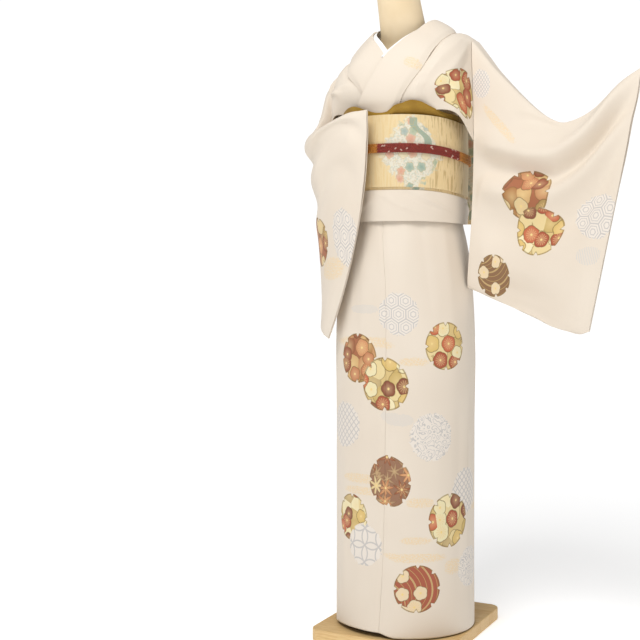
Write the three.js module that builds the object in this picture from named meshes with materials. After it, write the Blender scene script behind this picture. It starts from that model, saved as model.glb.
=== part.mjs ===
// A homongi kimono with its obi, sash and cord, dressed on a limbless form that stands on a wooden board.
// Millimetres, +Z up. The front looks towards -Y and the wearer's left is +X.
// The origin is the middle of the base's underside.
import * as THREE from "three";

// Cloth and clearances
const CLOTH = 1.6; // silk crepe with its lining
const COLLAR_CLOTH = 3; // the collar is the same silk folded double round a stiffener
const SEAM_GAP = 0.3;
const EDGE_GAP = 0.6; // between layers that lie on each other

// Driving heights above the floor
const BASE_THICK = 25;
const HEM_Z = 28;
const OHASHORI_Z = 841;
const OBI_FOOT_Z = 903;
const OBI_TALL = 147;
const OBI_TOP_Z = OBI_FOOT_Z + OBI_TALL;
const LEFT_SHOULDER_Z = 1204; // the lifted sleeve pulls this shoulder up
const RIGHT_SHOULDER_Z = 1158;

const COLOURS = {
  silk: { color: 0xefe6da, roughness: 0.55, metalness: 0 },
  collarStrip: { color: 0xfaf9f6, roughness: 0.6, metalness: 0 },
  brocade: { color: 0xe6d3a6, roughness: 0.5, metalness: 0.1 },
  sash: { color: 0xb59a3c, roughness: 0.6, metalness: 0 },
  cord: { color: 0x9a3a2a, roughness: 0.55, metalness: 0 },
  form: { color: 0xf3dcb4, roughness: 0.7, metalness: 0 },
  pole: { color: 0xc9c9c9, roughness: 0.35, metalness: 0.8 },
  wood: { color: 0xd9b878, roughness: 0.6, metalness: 0 },
};

const DEG = Math.PI / 180;
const STEP = 1e-3; // the small move, as a share of a skin, over which its slope is taken

const mix = (a, b, t) => a + (b - a) * t;
const clamp = (t) => Math.min(1, Math.max(0, t));
const ease = (t) => clamp(t) ** 2 * (3 - 2 * clamp(t));
const hump = (x, centre, width) => Math.exp(-(((x - centre) / width) ** 2));
// The first part of a fold's rise from 0 to 1, as a quarter circle
const quarter = (t) => Math.sqrt(1 - (1 - clamp(t)) ** 2);

// The smooth value of one column of a table at t, its rows being in order of their column `at`
function along(rows, column, t) {
  const last = rows.length - 1;
  const k = Math.max(0, Math.min(last - 1, rows.findIndex((row, i) => i === last || t < rows[i + 1].at)));
  const slope = (i) => {
    const low = Math.max(0, i - 1);
    const high = Math.min(last, i + 1);
    return (rows[high][column] - rows[low][column]) / (rows[high].at - rows[low].at);
  };
  const span = rows[k + 1].at - rows[k].at;
  const s = clamp((t - rows[k].at) / span);
  return (
    (2 * s ** 3 - 3 * s ** 2 + 1) * rows[k][column] +
    (s ** 3 - 2 * s ** 2 + s) * span * slope(k) +
    (3 * s ** 2 - 2 * s ** 3) * rows[k + 1][column] +
    (s ** 3 - s ** 2) * span * slope(k + 1)
  );
}

function pointAlong(rows, prefix, t) {
  return new THREE.Vector3(
    along(rows, `${prefix}X`, t),
    along(rows, `${prefix}Y`, t),
    along(rows, `${prefix}Z`, t),
  );
}

// The curve from a to c that leans towards b, at share s of its way
function lean(a, b, c, s) {
  return new THREE.Vector3()
    .addScaledVector(a, (1 - s) ** 2)
    .addScaledVector(b, 2 * s * (1 - s))
    .addScaledVector(c, s ** 2);
}

function normalOf(skin, u, v, round) {
  const low = (t) => (round ? t - STEP : Math.max(0, t - STEP));
  const high = (t) => (round ? t + STEP : Math.min(1, t + STEP));
  const acrossU = skin(high(u), v).sub(skin(low(u), v));
  const downV = skin(u, Math.min(1, v + STEP)).sub(skin(u, Math.max(0, v - STEP)));
  return acrossU.cross(downV).normalize();
}

function meshOf(name, look, points, faces) {
  let volume = 0;
  for (const [a, b, c] of faces) {
    volume += points[a].dot(new THREE.Vector3().crossVectors(points[b], points[c]));
  }
  const outward = volume < 0 ? faces.map(([a, b, c]) => [a, c, b]) : faces;
  const geometry = new THREE.BufferGeometry();
  geometry.setAttribute(
    "position",
    new THREE.Float32BufferAttribute(points.flatMap((p) => [p.x, p.y, p.z]), 3),
  );
  geometry.setIndex(outward.flat());
  geometry.computeVertexNormals();
  const mesh = new THREE.Mesh(geometry, new THREE.MeshStandardMaterial(COLOURS[look]));
  mesh.name = name;
  return mesh;
}

// A wall of cloth. skin(u, v) is its outer face for u and v from 0 to 1, and the inner face lies `thick`
// behind it; `inside` is -1 where u runs the other way round. A round wall closes on itself in u.
function wall(name, look, skin, { across, down, thick = CLOTH, inside = 1, round = false }) {
  const points = [];
  const columns = round ? across : across + 1;
  for (const depth of [0, thick]) {
    for (let j = 0; j <= down; j++) {
      for (let i = 0; i < columns; i++) {
        const [u, v] = [i / across, j / down];
        const behind = normalOf(skin, u, v, round).multiplyScalar(-depth * inside);
        points.push(skin(u, v).add(behind));
      }
    }
  }
  const layer = columns * (down + 1);
  const at = (face, i, j) => face * layer + j * columns + (i % columns);
  const faces = [];
  const quad = (a, b, c, d) => faces.push([a, b, c], [a, c, d]);
  for (let i = 0; i < across; i++) {
    for (let j = 0; j < down; j++) {
      quad(at(0, i, j), at(0, i + 1, j), at(0, i + 1, j + 1), at(0, i, j + 1));
      quad(at(1, i, j), at(1, i, j + 1), at(1, i + 1, j + 1), at(1, i + 1, j));
    }
    quad(at(0, i, 0), at(1, i, 0), at(1, i + 1, 0), at(0, i + 1, 0));
    quad(at(0, i, down), at(0, i + 1, down), at(1, i + 1, down), at(1, i, down));
  }
  for (let j = 0; j < down && !round; j++) {
    quad(at(0, 0, j), at(0, 0, j + 1), at(1, 0, j + 1), at(1, 0, j));
    quad(at(0, across, j), at(1, across, j), at(1, across, j + 1), at(0, across, j + 1));
  }
  return meshOf(name, look, points, faces);
}

// A solid through rings of points. A closed one joins its last ring to its first, and any other is capped.
function solid(name, look, rings, closed = false) {
  const size = rings[0].length;
  const points = rings.flat();
  const faces = [];
  const spans = closed ? rings.length : rings.length - 1;
  for (let k = 0; k < spans; k++) {
    for (let i = 0; i < size; i++) {
      const [a, b] = [k * size + i, k * size + ((i + 1) % size)];
      const next = ((k + 1) % rings.length) * size;
      const [c, d] = [next + ((i + 1) % size), next + i];
      faces.push([a, b, c], [a, c, d]);
    }
  }
  if (!closed) {
    for (const [k, flip] of [[0, true], [rings.length - 1, false]]) {
      const centre = rings[k].reduce((sum, p) => sum.add(p), new THREE.Vector3()).divideScalar(size);
      points.push(centre);
      for (let i = 0; i < size; i++) {
        const [a, b] = [k * size + i, k * size + ((i + 1) % size)];
        faces.push(flip ? [points.length - 1, b, a] : [points.length - 1, a, b]);
      }
    }
  }
  return meshOf(name, look, points, faces);
}

// Outlines of the dressed figure at each height: half its width, and how deep it is in front and behind
const SKIRT = [
  { at: 25, wide: 144, front: 129, back: 126 },
  { at: 200, wide: 143.5, front: 128, back: 126 },
  { at: 420, wide: 144, front: 128, back: 128 },
  { at: 600, wide: 144.5, front: 128, back: 130 },
  { at: 740, wide: 137, front: 123, back: 126 },
  { at: 800, wide: 128, front: 115, back: 116 },
  { at: 845, wide: 118.6, front: 106, back: 107 },
  { at: 905, wide: 116.5, front: 103, back: 103 },
];
const WAIST = [
  { at: 830, wide: 126, front: 113, back: 113 },
  { at: 903, wide: 125, front: 113, back: 112 },
  { at: 980, wide: 125, front: 113, back: 112 },
  { at: 1052, wide: 125, front: 113, back: 112 },
];

// The point of an outline at a turn in degrees from the front towards the wearer's left, moved out by lift
function outline(rows, z, turn, lift = 0) {
  const depth = Math.cos(turn * DEG) > 0 ? "front" : "back";
  return new THREE.Vector3(
    (along(rows, "wide", z) + lift) * Math.sin(turn * DEG),
    -(along(rows, depth, z) + lift) * Math.cos(turn * DEG),
    z,
  );
}

// The skirt: six panels in order round the wearer, the left front lying over the right
const OVERLAP_LIFT = CLOTH + EDGE_GAP + 1.4;
const SKIRT_TOP_Z = 890;
const SIDE_TURN = 84;
const TUCK_TURN = 46; // how far the right front reaches under the left one
const EDGE_TURN = -52; // the visible edge of the overlap, at the wearer's right
const UNDER_SEAM_TURN = -14; // the seam of the overlap panel underneath
// The outer overlap panel's seam runs down the front and slants in at the waist and a little at the hem
const OKUMI_SEAM = [
  { at: 30, turn: 1.5 },
  { at: 180, turn: 5 },
  { at: 420, turn: 7 },
  { at: 700, turn: 7 },
  { at: 800, turn: 3 },
  { at: 905, turn: -2 },
];
const okumiTurn = (z) => along(OKUMI_SEAM, "turn", z);
// The hem dips in front of the wearer's left leg and is drawn up at the seam of the overlap
const hemZ = (turn) => HEM_Z + 8 * (1 - ease((turn - 1) / 14)) * hump(turn, -10, 50);
// Near its seam the cloth sinks a little, as the stitches pull it in
const seamDip = (turn, z) => 1.2 * hump(turn, okumiTurn(z), 2.4);
const leftLift = (turn, z) => OVERLAP_LIFT * (1 - ease((turn - 70) / 70)) - seamDip(turn, z);

function skirtPanel(name, from, to, lift, across) {
  const skin = (u, v) => {
    const z = mix(hemZ(mix(from(HEM_Z), to(HEM_Z), u)), SKIRT_TOP_Z, v);
    const turn = mix(from(z), to(z), u);
    return outline(SKIRT, z, turn, lift(turn, z));
  };
  return wall(name, "silk", skin, { across, down: 8 });
}

const HALF_SEAM = SEAM_GAP / 2 / 135 / DEG; // half a seam's gap as a turn
const flat = () => 0;
const skirtPanels = [
  skirtPanel("skirt_okumi_left", () => EDGE_TURN, (z) => okumiTurn(z) - HALF_SEAM, leftLift, 6),
  skirtPanel("skirt_front_left", (z) => okumiTurn(z) + HALF_SEAM, () => SIDE_TURN - HALF_SEAM, leftLift, 8),
  skirtPanel("skirt_back_left", () => SIDE_TURN + HALF_SEAM, () => 180 - HALF_SEAM, leftLift, 8),
  skirtPanel("skirt_back_right", () => 180 + HALF_SEAM, () => 360 - SIDE_TURN - HALF_SEAM, flat, 8),
  skirtPanel("skirt_front_right", () => HALF_SEAM - SIDE_TURN, () => UNDER_SEAM_TURN - HALF_SEAM, flat, 7),
  skirtPanel("skirt_okumi_right", () => UNDER_SEAM_TURN + HALF_SEAM, () => TUCK_TURN, flat, 6),
];

// The obi: two wraps of a folded brocade band, the under one showing as a line below the outer one
const OBI_THICK = 3;
const OBI_TILT = 14; // the band sits lower at the sides and back than in front
const OBI_BOW = 1.4;
const obiDrop = (turn) => OBI_TILT * ease((1 - Math.cos(turn * DEG)) / 1.2);
function obiSkin(lift, footZ, topZ) {
  return (u, v) => {
    const turn = mix(-180, 180, u);
    const height = mix(footZ, topZ, v);
    const bow = OBI_BOW * Math.sin(Math.PI * clamp((height - OBI_FOOT_Z) / OBI_TALL));
    return outline(WAIST, height - obiDrop(turn), turn, lift + bow);
  };
}
const OBI_OUTER_LIFT = 2 * OBI_THICK + SEAM_GAP + 0.1;
const OBI_WRAP = { across: 36, down: 3, thick: OBI_THICK, round: true };
const obi = [
  wall("obi_under_wrap", "brocade", obiSkin(OBI_THICK, OBI_FOOT_Z, OBI_TOP_Z - 6), OBI_WRAP),
  wall("obi_outer_wrap", "brocade", obiSkin(OBI_OUTER_LIFT, OBI_FOOT_Z + 5, OBI_TOP_Z), OBI_WRAP),
];

// The tuck at the waist: the spare length of the body panels, folded up on itself and held by the obi
const OHASHORI_LIFT = 5;
function ohashoriSkin(u, v) {
  const turn = mix(-180, 180, u);
  const foot = OHASHORI_Z - 3 * ease((turn - 30) / 50) * ease((150 - turn) / 50);
  const z = mix(foot, OBI_FOOT_Z - obiDrop(turn) - 0.6, v);
  const belly = 2 * Math.sin(Math.PI * clamp(v)) * (0.6 + 0.4 * Math.cos((turn - 20) * DEG));
  return outline(WAIST, z, turn, OHASHORI_LIFT + belly);
}
const ohashori = wall("ohashori_fold", "silk", ohashoriSkin, {
  across: 36, down: 3, thick: 2 * CLOTH, round: true,
});

// The sash tucked in at the top of the obi, rising at the sides, and its pad over the knot behind
const SASH_THICK = 2.4;
const SASH_TUCK = 12;
// How far the sash rises above the band at each turn; it is low in front, where the collars cross
const SASH_RISE = [
  { at: -180, rise: 5 },
  { at: -120, rise: 6 },
  { at: -90, rise: 12 },
  { at: -66, rise: 13 },
  { at: -52, rise: 8 },
  { at: -40, rise: 6 },
  { at: -32, rise: 4 },
  { at: 18, rise: 4 },
  { at: 28, rise: 12 },
  { at: 36, rise: 12 },
  { at: 46, rise: 6 },
  { at: 58, rise: 6 },
  { at: 76, rise: 14 },
  { at: 100, rise: 14 },
  { at: 120, rise: 6 },
  { at: 180, rise: 5 },
];
function sashSkin(u, v) {
  const turn = mix(-180, 180, u);
  const top = OBI_TOP_Z - obiDrop(turn);
  return outline(WAIST, mix(top - SASH_TUCK, top + along(SASH_RISE, "rise", turn), v), turn, -0.4);
}
const sash = wall("obiage_sash", "sash", sashSkin, { across: 36, down: 3, thick: SASH_THICK, round: true });

const PAD = { halfWide: 92, y: 130.2, z: 1055, deep: 17.8, tall: 17 };
const padRings = Array.from({ length: 11 }, (_, k) => {
  const x = Math.sin((k / 10 - 0.5) * Math.PI * 0.97) * PAD.halfWide;
  const size = (1 - (x / PAD.halfWide) ** 6) ** 0.4;
  return Array.from({ length: 12 }, (_, i) => {
    const turn = (i / 12) * 360 * DEG;
    const y = PAD.y + PAD.deep * size * Math.cos(turn);
    return new THREE.Vector3(x, y, PAD.z + PAD.tall * size * Math.sin(turn));
  });
});
const sashPad = solid("obiage_pad", "sash", padRings);

// The drum knot at the back: the band passes over the pad, hangs in a loop and turns up inside it, and its
// tail shows below. Both are profiles seen from the side, swept across the back.
const BAND_THICK = 4;
const DRUM_HALF = 112;
const TAIL_HALF = 109;
const DRUM = [
  { at: 0, Y: 118, Z: 1076 },
  { at: 0.06, Y: 134, Z: 1076.4 },
  { at: 0.12, Y: 149, Z: 1070.4 },
  { at: 0.2, Y: 160, Z: 1053 },
  { at: 0.34, Y: 171, Z: 1014 },
  { at: 0.48, Y: 174, Z: 966 },
  { at: 0.62, Y: 169, Z: 916 },
  { at: 0.69, Y: 159, Z: 895 },
  { at: 0.74, Y: 147, Z: 889 },
  { at: 0.79, Y: 135.2, Z: 897 },
  { at: 0.87, Y: 130.6, Z: 930 },
  { at: 1, Y: 130.1, Z: 985 },
];
const TAIL = [
  { at: 0, Y: 129.5, Z: 988 },
  { at: 0.5, Y: 129.5, Z: 915 },
  { at: 1, Y: 132, Z: 842 },
];
function swept(rows, half) {
  return (u, v) => {
    const x = mix(-half, half, u);
    const sag = 3 * (x / half) ** 2;
    return new THREE.Vector3(x, along(rows, "Y", v) - sag * hump(v, 0.45, 0.2), along(rows, "Z", v));
  };
}
const knot = [
  wall("obi_drum", "brocade", swept(DRUM, DRUM_HALF), { across: 4, down: 26, thick: BAND_THICK }),
  wall("obi_tail", "brocade", swept(TAIL, TAIL_HALF), { across: 2, down: 4, thick: BAND_THICK }),
];

// The cord: a braid of flattened section, drawn round the obi at mid height
const CORD = { tall: 19, thick: 5, z: 984, tilt: 17 };
const cordRings = Array.from({ length: 36 }, (_, k) => {
  const turn = (k / 36) * 360 - 180;
  const drop = CORD.tilt * ease((1 - Math.cos(turn * DEG)) / 1.2);
  return Array.from({ length: 8 }, (_, i) => {
    const spin = (i / 8) * 360 * DEG;
    const squash = (x) => Math.sign(x) * Math.abs(x) ** 0.7;
    const lift = OBI_OUTER_LIFT + OBI_BOW + 0.3 + (CORD.thick / 2) * (1 + squash(Math.cos(spin)));
    return outline(WAIST, CORD.z - drop + (CORD.tall / 2) * squash(Math.sin(spin)), turn, lift);
  });
});
const cord = solid("obijime_cord", "cord", cordRings, true);

// The sleeves: a bag from the sleeve seam (at 0) to the cuff edge (at 1), hanging from its top line to its
// bottom line and bowing out towards a side between them. The left one is lifted by its upper corner and
// sags between that and the shoulder. The right one is folded forwards, that corner at the obi's front.
const LEFT_SLEEVE = [
  { at: 0, topX: 157, topY: 0, topZ: 1204, bowX: 30, bowY: 0, footX: 149, footY: -4, footZ: 708 },
  { at: 0.1, topX: 184, topY: -6, topZ: 1171, bowX: 18, bowY: 0, footX: 172, footY: -10, footZ: 700 },
  { at: 0.2, topX: 211, topY: -11, topZ: 1138, bowX: 10, bowY: 0, footX: 202, footY: -20, footZ: 688 },
  { at: 0.4, topX: 283, topY: -21, topZ: 1065, bowX: 0, bowY: -6, footX: 263, footY: -45, footZ: 668 },
  { at: 0.55, topX: 330, topY: -30, topZ: 1031, bowX: 0, bowY: -14, footX: 310, footY: -66, footZ: 652 },
  { at: 0.65, topX: 360, topY: -35, topZ: 1026, bowX: 0, bowY: -16, footX: 338, footY: -78, footZ: 640 },
  { at: 0.78, topX: 410, topY: -44, topZ: 1046, bowX: 0, bowY: -10, footX: 374, footY: -92, footZ: 632 },
  { at: 0.9, topX: 465, topY: -54, topZ: 1092, bowX: 0, bowY: -4, footX: 402, footY: -103, footZ: 629 },
  { at: 1, topX: 507, topY: -61, topZ: 1116, bowX: 0, bowY: 0, footX: 420, footY: -110, footZ: 634 },
];
const RIGHT_SLEEVE = [
  { at: 0, topX: -151, topY: 0, topZ: 1158, bowX: -10, bowY: -10, footX: -160, footY: 66, footZ: 668 },
  { at: 0.08, topX: -173, topY: -2, topZ: 1137, bowX: -6, bowY: -10, footX: -170, footY: 50, footZ: 664 },
  { at: 0.16, topX: -182, topY: -7, topZ: 1112, bowX: 2, bowY: -10, footX: -175, footY: 32, footZ: 660 },
  { at: 0.28, topX: -190, topY: -17, topZ: 1064, bowX: 12, bowY: -10, footX: -176, footY: 8, footZ: 654 },
  { at: 0.42, topX: -200, topY: -40, topZ: 1028, bowX: 30, bowY: -14, footX: -172, footY: -24, footZ: 646 },
  { at: 0.58, topX: -164, topY: -86, topZ: 1027, bowX: 26, bowY: -30, footX: -163, footY: -54, footZ: 636 },
  {
    at: 0.74, topX: -110, topY: -118, topZ: 1041,
    bowX: 30, bowY: -34, footX: -150, footY: -84, footZ: 626,
  },
  {
    at: 0.88, topX: -58, topY: -138, topZ: 1054,
    bowX: 42, bowY: -30, footX: -131, footY: -106, footZ: 614,
  },
  { at: 1, topX: -14, topY: -144, topZ: 1058, bowX: 60, bowY: -24, footX: -112, footY: -122, footZ: 607 },
];
// Folds: ridges that run along a sleeve. `from`, `mid` and `to` say how far down the bag each one lies at
// the seam, half way and at the cuff; `high` is how far it stands out and `wide` its half width.
const LEFT_FOLDS = [
  { from: 0.44, mid: 0.2, to: 0.03, high: 11, wide: 0.07 },
  { from: 0.52, mid: 0.31, to: 0.12, high: -7, wide: 0.06 },
  { from: 0.6, mid: 0.4, to: 0.2, high: 8, wide: 0.07 },
  { from: 0.74, mid: 0.58, to: 0.34, high: -4, wide: 0.09 },
];
const RIGHT_FOLDS = [
  { from: 0.34, mid: 0.05, to: 0.03, high: 6, wide: 0.06 },
  { from: 0.42, mid: 0.13, to: 0.08, high: -4, wide: 0.05 },
  { from: 0.5, mid: 0.22, to: 0.12, high: 6, wide: 0.06 },
  { from: 0.62, mid: 0.36, to: 0.26, high: -5, wide: 0.08 },
];
const CUFF_SHARE = 0.44; // the open part of the cuff edge, from the top
const CUFF_HALF = 7; // half of how far its front and back stand apart there
const CLOSED_HALF = CLOTH + 0.7; // the same where they are sewn together

function sleeveSkin(rows, folds, seamHalf) {
  const sheet = (s, v) => {
    const [top, foot] = [pointAlong(rows, "top", v), pointAlong(rows, "foot", v)];
    const middle = top.clone().add(foot).multiplyScalar(0.5);
    middle.x += along(rows, "bowX", v);
    middle.y += along(rows, "bowY", v);
    return lean(top, middle, foot, s);
  };
  const ridge = (fold, v) => {
    const pull = 2 * fold.mid - (fold.from + fold.to) / 2;
    return (1 - v) ** 2 * fold.from + 2 * v * (1 - v) * pull + v ** 2 * fold.to;
  };
  return (u, v) => {
    const spin = u * 2 * Math.PI;
    const s = (1 - Math.cos(spin)) / 2;
    const out = normalOf(sheet, s, v, false);
    const sewn = ease((v - 0.55) / 0.42) * ease((s - CUFF_SHARE + 0.12) / 0.16);
    const foot = ease((s - 0.8) / 0.2) * ease(v / 0.3);
    const loose = mix(seamHalf, CUFF_HALF, ease(v / 0.9));
    const half = mix(mix(loose, CLOSED_HALF, sewn), CLOSED_HALF, foot);
    const shut = mix(0.3, 0.12, sewn);
    const apart = half * Math.sign(Math.sin(spin)) * Math.abs(Math.sin(spin)) ** shut;
    const folded = folds.reduce((sum, fold) => sum + fold.high * hump(s, ridge(fold, v), fold.wide), 0);
    const sway = 5 * Math.sin(7 * v + 1.2) * ease((s - 0.35) / 0.5);
    const free = ease(v / 0.25) * ease((1.04 - v) / 0.2) * quarter(Math.min(s, 1 - s) / 0.04);
    return sheet(s, v).addScaledVector(out, apart + (folded + sway) * free);
  };
}
const LEFT_SEAM_HALF = 24;
const RIGHT_SEAM_HALF = 18;
const ARMHOLE_SHARE = 0.22; // the part of a sleeve's edge, each way from the shoulder, sewn to the bodice
const SLEEVE_GAP = 0.6;
const LEFT = { sign: 1, seamX: 157, shoulderZ: LEFT_SHOULDER_Z };
const RIGHT = { sign: -1, seamX: 151, shoulderZ: RIGHT_SHOULDER_Z };
LEFT.sleeve = sleeveSkin(LEFT_SLEEVE, LEFT_FOLDS, LEFT_SEAM_HALF);
RIGHT.sleeve = sleeveSkin(RIGHT_SLEEVE, RIGHT_FOLDS, RIGHT_SEAM_HALF);
const SLEEVE = { across: 28, down: 16, round: true };
const sleeves = [
  wall("sleeve_left", "silk", LEFT.sleeve, SLEEVE),
  wall("sleeve_right", "silk", RIGHT.sleeve, SLEEVE),
];

// The chest under the crossed collars: how far it stands forward of the axis at its middle, and the half
// width that this falls away over
const CHEST = [
  { at: 1020, deep: 95, span: 115 },
  { at: 1048, deep: 96.5, span: 116 },
  { at: 1062, deep: 98, span: 121 },
  { at: 1080, deep: 103, span: 142 },
  { at: 1100, deep: 104, span: 158 },
  { at: 1126, deep: 101, span: 165 },
  { at: 1150, deep: 95, span: 165 },
  { at: 1173, deep: 87, span: 165 },
  { at: 1200, deep: 72, span: 165 },
  { at: 1240, deep: 46, span: 165 },
];
function onChest(x, z, lift) {
  const fall = Math.sqrt(1 - (x / along(CHEST, "span", z)) ** 2);
  return new THREE.Vector3(x, -along(CHEST, "deep", z) * fall - lift, z);
}

// The bodice: one panel each side, from the back of the obi over the shoulder to its front. `at` runs from
// the back (-1) over the shoulder (0) to the front (1). Each row goes from the edge under the collar, or
// the centre back, through two lines on the panel to the sleeve seam.
const BODICE = [
  {
    at: -1, edgeX: 0.7, edgeY: 97, edgeZ: 1024,
    midX: 60, midY: 84, midZ: 1028, sideX: 124, sideY: 46, sideZ: 1072,
  },
  {
    at: -0.86, edgeX: 0.7, edgeY: 103, edgeZ: 1075,
    midX: 66, midY: 96, midZ: 1080, sideX: 130, sideY: 56, sideZ: 1092,
  },
  {
    at: -0.6, edgeX: 0.7, edgeY: 113, edgeZ: 1132,
    midX: 72, midY: 103, midZ: 1134, sideX: 136, sideY: 62, sideZ: 1132,
  },
  {
    at: -0.35, edgeX: 0.7, edgeY: 118, edgeZ: 1186,
    midX: 76, midY: 96, midZ: 1180, sideX: 138, sideY: 56, sideZ: 1170,
  },
  {
    at: -0.18, edgeX: 74, edgeY: 82, edgeZ: 1206,
    midX: 104, midY: 66, midZ: 1202, sideX: 137, sideY: 40, sideZ: 1192,
  },
  {
    at: 0, edgeX: 112, edgeY: 4, edgeZ: 1224,
    midX: 127, midY: 3, midZ: 1222, sideX: 142, sideY: 2, sideZ: 1216,
  },
  {
    at: 0.2, edgeX: 101, edgeY: -54, edgeZ: 1196,
    midX: 118, midY: -54, midZ: 1197, sideX: 140, sideY: -42, sideZ: 1192,
  },
  {
    at: 0.45, edgeX: 81, edgeY: -84, edgeZ: 1146,
    midX: 106, midY: -86, midZ: 1148, sideX: 139, sideY: -62, sideZ: 1146,
  },
  {
    at: 0.7, edgeX: 56, edgeY: -100, edgeZ: 1110,
    midX: 95, midY: -93, midZ: 1114, sideX: 139, sideY: -70, sideZ: 1112,
  },
  {
    at: 0.84, edgeX: 42, edgeY: -101, edgeZ: 1090,
    midX: 94, midY: -90, midZ: 1092, sideX: 139, sideY: -68, sideZ: 1094,
  },
  {
    at: 0.92, edgeX: 33, edgeY: -101, edgeZ: 1070,
    midX: 91, midY: -85, midZ: 1076, sideX: 140, sideY: -66, sideZ: 1080,
  },
  {
    at: 1, edgeX: 24, edgeY: -98, edgeZ: 1042,
    midX: 89, midY: -79, midZ: 1060, sideX: 140, sideY: -62, sideZ: 1066,
  },
];
const CENTRE_GAP = 0.7; // from the middle of the back to each panel's edge
const LAYER = COLLAR_CLOTH + 1; // what each crossed layer of the chest is raised by

// A side's shoulder is lowered smoothly from the level of the left one
function lowered(point, side) {
  const drop = LEFT_SHOULDER_Z - side.shoulderZ;
  const high = ease((point.z - 1085) / 100);
  const out = ease((Math.abs(point.x) - 20) / 130);
  const narrow = 1 - (1 - side.seamX / LEFT.seamX) * ease((Math.abs(point.x) - 90) / 60);
  return new THREE.Vector3(point.x * narrow * side.sign, point.y, point.z - drop * high * out);
}

// The panel ends along the sleeve's own edge, down to the foot of the armhole
function seamPoint(side, at) {
  const point = side.sleeve(side.sign * at * ARMHOLE_SHARE, 0);
  point.x -= side.sign * SLEEVE_GAP;
  return point;
}

// The edge of the panel at the front lies on the chest, the left one's a layer higher than the right one's
function bodiceEdge(side, at) {
  const edge = pointAlong(BODICE, "edge", at);
  edge.x = Math.max(edge.x, CENTRE_GAP);
  const front = onChest(edge.x, edge.z, side === LEFT ? LAYER + CLOTH + 0.4 : 0);
  return edge.lerp(front, ease((at - 0.2) / 0.25));
}

function bodiceMiddle(side, at) {
  const middle = pointAlong(BODICE, "mid", at);
  if (side === RIGHT) middle.y += (LAYER + CLOTH + 0.4) * ease((at - 0.2) / 0.25);
  return middle;
}

function bodiceSkin(side) {
  return (u, v) => {
    const at = mix(-1, 1, v);
    const across = [
      lowered(bodiceEdge(side, at), side),
      lowered(bodiceMiddle(side, at), side),
      lowered(pointAlong(BODICE, "side", at), side),
      seamPoint(side, at),
    ].map((p, i) => ({ at: i / 3, X: p.x, Y: p.y, Z: p.z }));
    return pointAlong(across, "", u);
  };
}
const bodices = [
  wall("body_left", "silk", bodiceSkin(LEFT), { across: 9, down: 24, inside: -1 }),
  wall("body_right", "silk", bodiceSkin(RIGHT), { across: 9, down: 24 }),
];

// The collar, a doubled band from the obi over the shoulder to the centre back. Its inner edge is below,
// its outer edge lies on the bodice's, and the left one crosses over the right one at the throat.
const COLLAR_EDGE = [
  { at: -0.35, inX: 0.8, inY: 102, inZ: 1240 },
  { at: -0.2, inX: 48, inY: 78, inZ: 1252 },
  { at: -0.05, inX: 64, inY: 24, inZ: 1259 },
  { at: 0.08, inX: 62, inY: -16, inZ: 1250 },
  { at: 0.2, inX: 53, inY: -45, inZ: 1231 },
  { at: 0.33, inX: 29, inY: -75, inZ: 1203 },
  { at: 0.45, inX: 2, inY: -90, inZ: 1172 },
  { at: 0.7, inX: -30, inY: -101, inZ: 1117 },
  { at: 0.84, inX: -46, inY: -101, inZ: 1090 },
  { at: 0.92, inX: -59, inY: -95, inZ: 1071 },
  { at: 1, inX: -68, inY: -88, inZ: 1044 },
];
const COLLAR_FROM = -0.35;
const COLLAR_BOW = 5;
const UNDER_NARROW = 0.3; // the right one's reach under the left one, as a share of the left one's own

function collarSkin(side) {
  const bodice = bodiceSkin(side);
  return (u, v) => {
    const at = mix(COLLAR_FROM, 1, v);
    const share = (at + 1) / 2;
    const out = normalOf(bodice, 0.02, share, false).multiplyScalar(-side.sign);
    const seam = bodice(0.02 * ease(v * 8), share).addScaledVector(out, LAYER + 0.5);
    const edge = lowered(pointAlong(COLLAR_EDGE, "in", at), side);
    if (side === RIGHT) edge.x *= mix(1, UNDER_NARROW, ease((at - 0.45) / 0.3));
    const middle = edge.clone().add(seam).multiplyScalar(0.5).addScaledVector(out, COLLAR_BOW);
    const free = lean(edge, middle, seam, u);
    const level = (side === LEFT ? 2 * LAYER + CLOTH + 0.8 : LAYER) + u;
    const crossed = onChest(free.x, free.z, level);
    return free.lerp(crossed, ease((at - 0.2) / 0.18));
  };
}
const COLLAR = { across: 4, down: 22, thick: COLLAR_CLOTH };
const collars = [
  wall("collar_left", "silk", collarSkin(LEFT), { ...COLLAR, inside: -1 }),
  wall("collar_right", "silk", collarSkin(RIGHT), COLLAR),
];

// A narrow white strip tacked inside each collar, standing a little above its edge down to the throat
const STRIP = { across: 2, down: 14, thick: 1.2 };
function stripSkin(side) {
  const collar = collarSkin(side);
  return (u, v) => {
    const across = mix(-0.11, 0.3, u);
    const down = mix(0.015, 0.6, v);
    const behind = normalOf(collar, Math.max(0.02, across), down, false).multiplyScalar(side.sign);
    return collar(across, down).addScaledVector(behind, COLLAR_CLOTH + 1.1);
  };
}
const strips = [
  wall("collar_strip_left", "collarStrip", stripSkin(LEFT), { ...STRIP, inside: -1 }),
  wall("collar_strip_right", "collarStrip", stripSkin(RIGHT), STRIP),
];

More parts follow.
